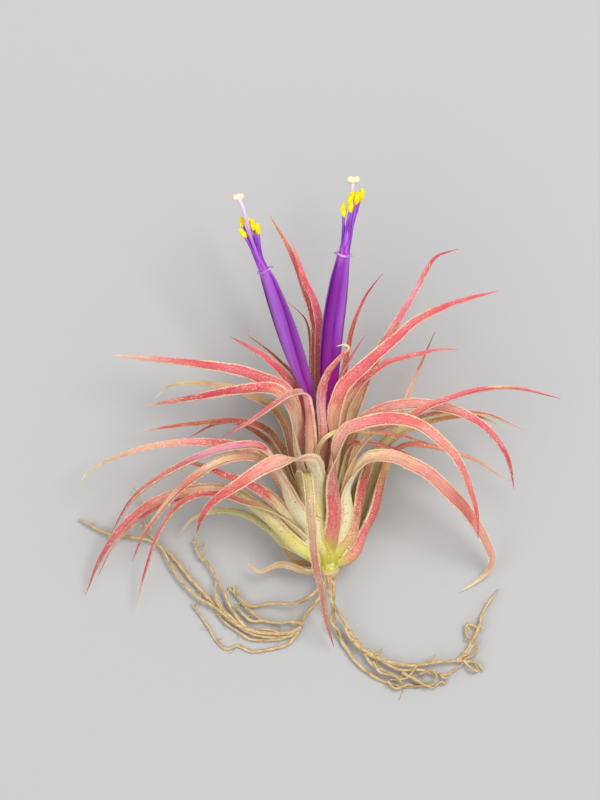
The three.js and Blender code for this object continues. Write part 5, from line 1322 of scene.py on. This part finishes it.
def add_fringe(shape, blade):
    """Pale scales that stand out from both margins, leaning towards the tip."""
    rng = blade.rng
    count = int(blade.along[-1] * FRINGE["density"])
    for side in (-1.0, 1.0):
        along = rng.uniform(FRINGE["start"], blade.along[-1], count)
        thick = wander(rng, along, *FRINGE["patches"]) + FRINGE["share"]
        along = along[rng.uniform(0, 1, count) < thick]
        count = len(along)
        row = np.searchsorted(blade.along, along) - 1
        sides = np.full(count, side)
        low = blade.at(row, sides, np.ones(count))
        high = blade.at(row, sides, np.zeros(count))
        back = blade.at(row, sides * FRINGE["inset"], rng.uniform(0, 1, count))
        back = back - blade.tangents[row] * FRINGE["foot"]
        length = rng.uniform(*FRINGE["length"], count)
        length = length * np.minimum(1, blade.width[row] / FRINGE["full_width"])
        ahead = blade.tangents[row] * rng.uniform(*FRINGE["ahead"], count)[:, None]
        up = blade.uppers[row] * rng.uniform(*FRINGE["up"], count)[:, None]
        lean = blade.across[row] * side + ahead + up
        tips = (low + high) / 2 + unit(lean) * length[:, None]
        values = blade.values(row, sides, np.zeros(count))
        add_spikes(shape, np.stack([low, high, back], axis=1), tips, *values)


def add_flecks(shape, blade):
    """Pale scales that lie on both faces, raised at their tips."""
    rng = blade.rng
    least, most = FLECK["length"]
    for under in (0.0, 1.0):
        count = int(np.mean(blade.width) * blade.along[-1] * FLECK["density"])
        spread = np.cumsum(blade.width)
        row = np.searchsorted(spread, rng.uniform(0, spread[-1], count))
        row = np.clip(row, 1, len(blade.share) - 2)
        side = rng.uniform(-FLECK["reach"], FLECK["reach"], count)
        patches = wander(rng, blade.along[row] + side * 2, *FLECK["patches"])
        thick = patches + FLECK["share"] + FLECK["more"] * np.abs(side)
        thick = thick * smoothstep(blade.share[row], *FLECK["thicken"])
        kept = rng.uniform(0, 1, count) < thick
        row, side = row[kept], side[kept]
        unders = np.full(len(row), under)
        foot = blade.at(row, side, unders)
        outwards = blade.uppers[row] * (1 - 2 * under)
        length = (least + (most - least) * rng.uniform(0, 1, len(row)) ** 2)[:, None]
        slant = rng.uniform(-FLECK["slant"], FLECK["slant"], len(row))[:, None]
        ahead = unit(blade.tangents[row] + blade.across[row] * slant)
        aside = np.cross(ahead, outwards) * length * FLECK["width"]
        base = np.stack([foot - ahead * length / 3, foot + aside, foot - aside], axis=1)
        base = base - outwards[:, None] * FLECK["sink"]
        tips = foot + ahead * length * FLECK["ahead"] + outwards * FLECK["lift"]
        add_spikes(shape, base, tips, *blade.values(row, side, unders))


def make_leaves():
    slots = {row["node"]: row["material_slot"] for row in frame["record"]["subparts"]}
    for seed, (name, leaf) in enumerate(LEAVES.items(), 10):
        blade = Blade(leaf, seed)
        shape = Shape()
        add_blade(shape, blade)
        add_fringe(shape, blade)
        add_flecks(shape, blade)
        material = leaf_material(name, leaf, blade.shares)
        add_piece(name + "_blade", shape, material, slots[name], name)


# ---- roots ----

def add_rootlet(shape, rng, place, seed):
    """A small side rootlet that starts at a place on a root."""
    length = rng.uniform(*ROOTLET["length"])
    way = unit(np.array([rng.uniform(-1, 1), rng.uniform(-1, 1), rng.uniform(-0.1, 0.5)]))
    bend = place + way * length * 0.5
    end = place + way * length + np.array([*rng.uniform(-0.5, 0.5, 2), 0]) * length
    for point in (bend, end):
        point[2] = max(point[2], ROOTLET["lowest"])
    form = (ROOTLET["radii"], ROOTLET["sides"], ROOTLET["step"])
    add_tube(shape, [place, bend, end], *form, seed, ROOTLET["roughness"])


def make_roots():
    material = root_material()
    for name, strands in ROOTS.items():
        shape = Shape()
        for seed, (radius, *points) in enumerate(TWIGS[name], 30):
            radii = [radius, radius, radius * ROOT_END]
            add_tube(shape, points, radii, ROOT_SIDES, TWIG_STEP, seed, TWIG_ROUGHNESS)
        for seed, (radius, *points) in enumerate(strands, 1):
            rng = np.random.default_rng(seed * 7 + len(strands))
            thinning = np.linspace(radius, radius * ROOT_THINNING, len(points) - 1)
            radii = [*thinning, radius * ROOT_END]
            add_tube(shape, points, radii, ROOT_SIDES, ROOT_STEP, seed, ROOT_ROUGHNESS)
            steps = even_steps(points, ROOTLET["spacing"])[1:-1]
            for place in curve_at(points, steps + rng.uniform(-0.2, 0.2, len(steps))):
                add_rootlet(shape, rng, place, seed)
        add_piece(name + "_strands", shape, material, "root", name)


# ---- flowers ----

class Mouth:
    """Where a flower opens: its middle, the way it faces, and the directions round it."""

    def __init__(self, flower):
        before, self.end = np.array([place[:3] for place in flower["tube"][-2:]], float)
        self.outwards = unit(self.end - before)
        self.side = without(UP, self.outwards)
        self.across = np.cross(self.outwards, self.side)

    def ahead(self, distance):
        return self.end + self.outwards * distance

    def radial(self, turns):
        angle = 2 * math.pi * turns
        return self.side * math.cos(angle) + self.across * math.sin(angle)


def add_rolled_petal(shape, flower, number):
    """One petal of the roll: a thin sheet from beneath one neighbour to on top of the other, with
    its rim bent back at the mouth."""
    points = [place[:3] for place in flower["tube"]]
    steps = even_steps(points, PETAL_SPACING)
    places = curve_at(points, steps)
    tangents, uppers = frames_along(places, TUBE_UPPER)
    across = np.cross(tangents, uppers)
    along = lengths_along(places)
    share = along / along[-1]
    radius = np.interp(steps, range(len(points)), [place[3] for place in flower["tube"]])

    # The rim's rows carry on from the last row of the tube.
    ahead, out = np.transpose(RIM)
    places = np.vstack([places, places[-1] + tangents[-1] * ahead[:, None]])
    rim_share = 1 - RIM_SHARE * (1 - out / out[-1]) * 0.5
    share = np.concatenate([share * (1 - RIM_SHARE), rim_share])[:, None]
    along = np.concatenate([along, along[-1] + ahead])[:, None]
    out = np.concatenate([np.zeros(len(steps)), out])[:, None]
    radius, across, uppers = (
        np.concatenate([rows, np.repeat(rows[-1:], len(RIM), axis=0)])
        for rows in (radius, across, uppers)
    )

    turn = np.linspace(-PETAL_OVERLAP, 1, PETAL_COLUMNS)
    turn = np.concatenate([turn, turn[::-1]])
    inner = np.repeat([0.0, 1.0], PETAL_COLUMNS)
    edge = np.radians(flower["turn"] + flower["twist"] * share)
    angle = edge - 2 * math.pi / PETALS * (turn + number)
    ruffle = RIM_LEAST + (1 - RIM_LEAST) * np.cos(math.pi * (turn - 0.5)) ** 2
    thickness = PETAL_THICKNESS * np.where(out > 0, 0.5, 1)
    reach = radius[:, None] * (1 - PETAL_STEP / 2 + PETAL_STEP * turn)
    reach = reach + out * ruffle - thickness * inner
    rings = rings_round(places, across, uppers, reach, angle)
    skin = triples(reach.shape, turn * PETAL_ACROSS, along, number * 4.1 + inner)
    add_rings(shape, rings, skin, triples(reach.shape, turn, share, inner))


def add_strand(shape, points, radii, seed, form):
    add_tube(shape, points, radii, form["sides"], STRAND_SPACING, seed, form["roughness"])


def make_stamens(name, flower, mouth):
    filaments = Shape()
    wide = COLLAR["radius"] * flower["bundle"]
    collar = [mouth.ahead(-COLLAR["depth"]), mouth.ahead(COLLAR["rise"])]
    add_strand(filaments, collar, [wide, wide * COLLAR["narrowing"]], 30, COLLAR)
    anthers = Shape()
    thick, length = flower["anther_size"]
    spread = FILAMENT["circle"] * flower["bundle"]
    for k, (*middle, lean) in enumerate(flower["anthers"]):
        middle = np.array(middle, float)
        foot = mouth.ahead(-FILAMENT["depth"]) + mouth.radial((k + 0.5) / STAMENS) * spread
        bend = foot + mouth.outwards * FILAMENT["straight"]
        add_strand(filaments, [foot, bend, middle], FILAMENT["radii"], 40 + k, FILAMENT)
        lean = math.radians(lean)
        long_axis = unit(np.array((math.sin(lean), math.cos(lean), ANTHER["rise"])))
        second = without(UP, long_axis)
        third = np.cross(long_axis, second)
        axes = (long_axis * length, second * thick, third * thick)
        add_blob(anthers, middle, axes, 60 + k, ANTHER)
    node = name + "_stamens"
    add_piece(name + "_filaments", filaments, filament_material(), "filament", node)
    add_piece(name + "_anthers", anthers, anther_material(), "anther", node)


def make_pistil(name, flower, mouth):
    shape = Shape()
    bend = mouth.ahead(STYLE["straight"]) + UP * STYLE["lift"]
    points = [mouth.ahead(STYLE["start"]), bend, *np.array(flower["style"], float)]
    add_strand(shape, points, STYLE["radii"], 70, STYLE)
    size = flower["stigma"]
    axes = np.diag(np.array(LOBE["axes"]) * size)
    for k, ahead in enumerate(flower["lobes"]):
        centre = points[-1] + np.array(((k - 1) * size * LOBE["apart"], size * ahead, 0))
        add_blob(shape, centre, axes, 80 + k, LOBE, scale=1.0)
    add_piece(name + "_style", shape, style_material(), "style", name + "_pistil")


def make_flower(name, flower):
    petals = Shape()
    for number in range(PETALS):
        add_rolled_petal(petals, flower, number)
    material = petal_material(name + "_petal_skin", flower["bloom"])
    add_piece(name + "_petals", petals, material, "petal", name + "_corolla")
    mouth = Mouth(flower)
    make_stamens(name, flower, mouth)
    make_pistil(name, flower, mouth)


# ---- floor, light and camera ----

# The photo is 600 by 800 pixels, with 4 pixels to a millimetre in the plane of the leaves.
PHOTO_HEIGHT = 800
PIXELS_PER_MM = 4.0
# The middle of the photo, on the plane of the leaves.
VIEW_CENTRE = np.array((-5.0, 8.25, 24.0))
VIEW_DISTANCE = 5000.0
SENSOR = 36.0
# What the camera sees lies between these distances, in metres.
VIEW_NEAR = 0.1
VIEW_FAR = 20.0
# Lights, in metres and watts: place, size and power. Then the strength of the light from all round.
KEY = ((0.55, 0.5, 1.6), 0.7, 19)
FILL = ((-0.9, -0.5, 1.4), 1.2, 7)
DAYLIGHT = 0.58
# The floor: its width in metres, how far below the plant it lies in millimetres, and its colour.
FLOOR_WIDTH = 3.0
FLOOR_DROP = 0.05
FLOOR_COLOUR = (0.5, 0.5, 0.5, 1)


def make_floor():
    bpy.ops.mesh.primitive_plane_add(size=FLOOR_WIDTH, location=(0, 0, -FLOOR_DROP * MM))
    floor = bpy.context.object
    floor.name = "floor"
    look = Look("floor_paper", Specular_IOR_Level=0.2, Base_Color=FLOOR_COLOUR, Roughness=0.9)
    floor.data.materials.append(look.material)


def add_light(name, place, size, power):
    """A square soft light that looks at the plant."""
    lamp = bpy.data.lights.new(name, "AREA")
    lamp.size = size
    lamp.energy = power
    light = bpy.data.objects.new(name, lamp)
    light.location = place
    aim = VIEW_CENTRE * MM - np.array(place)
    light.rotation_euler = Vector(aim).to_track_quat("-Z", "Y").to_euler()
    bpy.context.scene.collection.objects.link(light)


def make_light():
    world = bpy.data.worlds.new("studio")
    world.use_nodes = True
    background = world.node_tree.nodes["Background"]
    background.inputs["Color"].default_value = (1, 1, 1, 1)
    background.inputs["Strength"].default_value = DAYLIGHT
    bpy.context.scene.world = world
    bpy.context.scene.view_settings.view_transform = "Standard"
    add_light("key", *KEY)
    add_light("fill", *FILL)


def make_camera():
    camera = bpy.data.cameras.new("camera")
    camera.sensor_fit = "AUTO"
    camera.sensor_width = SENSOR
    camera.lens = SENSOR * VIEW_DISTANCE * PIXELS_PER_MM / PHOTO_HEIGHT
    camera.clip_start = VIEW_NEAR
    camera.clip_end = VIEW_FAR
    view = bpy.data.objects.new("camera", camera)
    view.location = (VIEW_CENTRE + UP * VIEW_DISTANCE) * MM
    bpy.context.scene.collection.objects.link(view)
    bpy.context.scene.camera = view


make_stem()
make_leaves()
make_roots()
for flower_name, flower_row in FLOWERS.items():
    make_flower(flower_name, flower_row)
make_floor()
make_light()
make_camera()
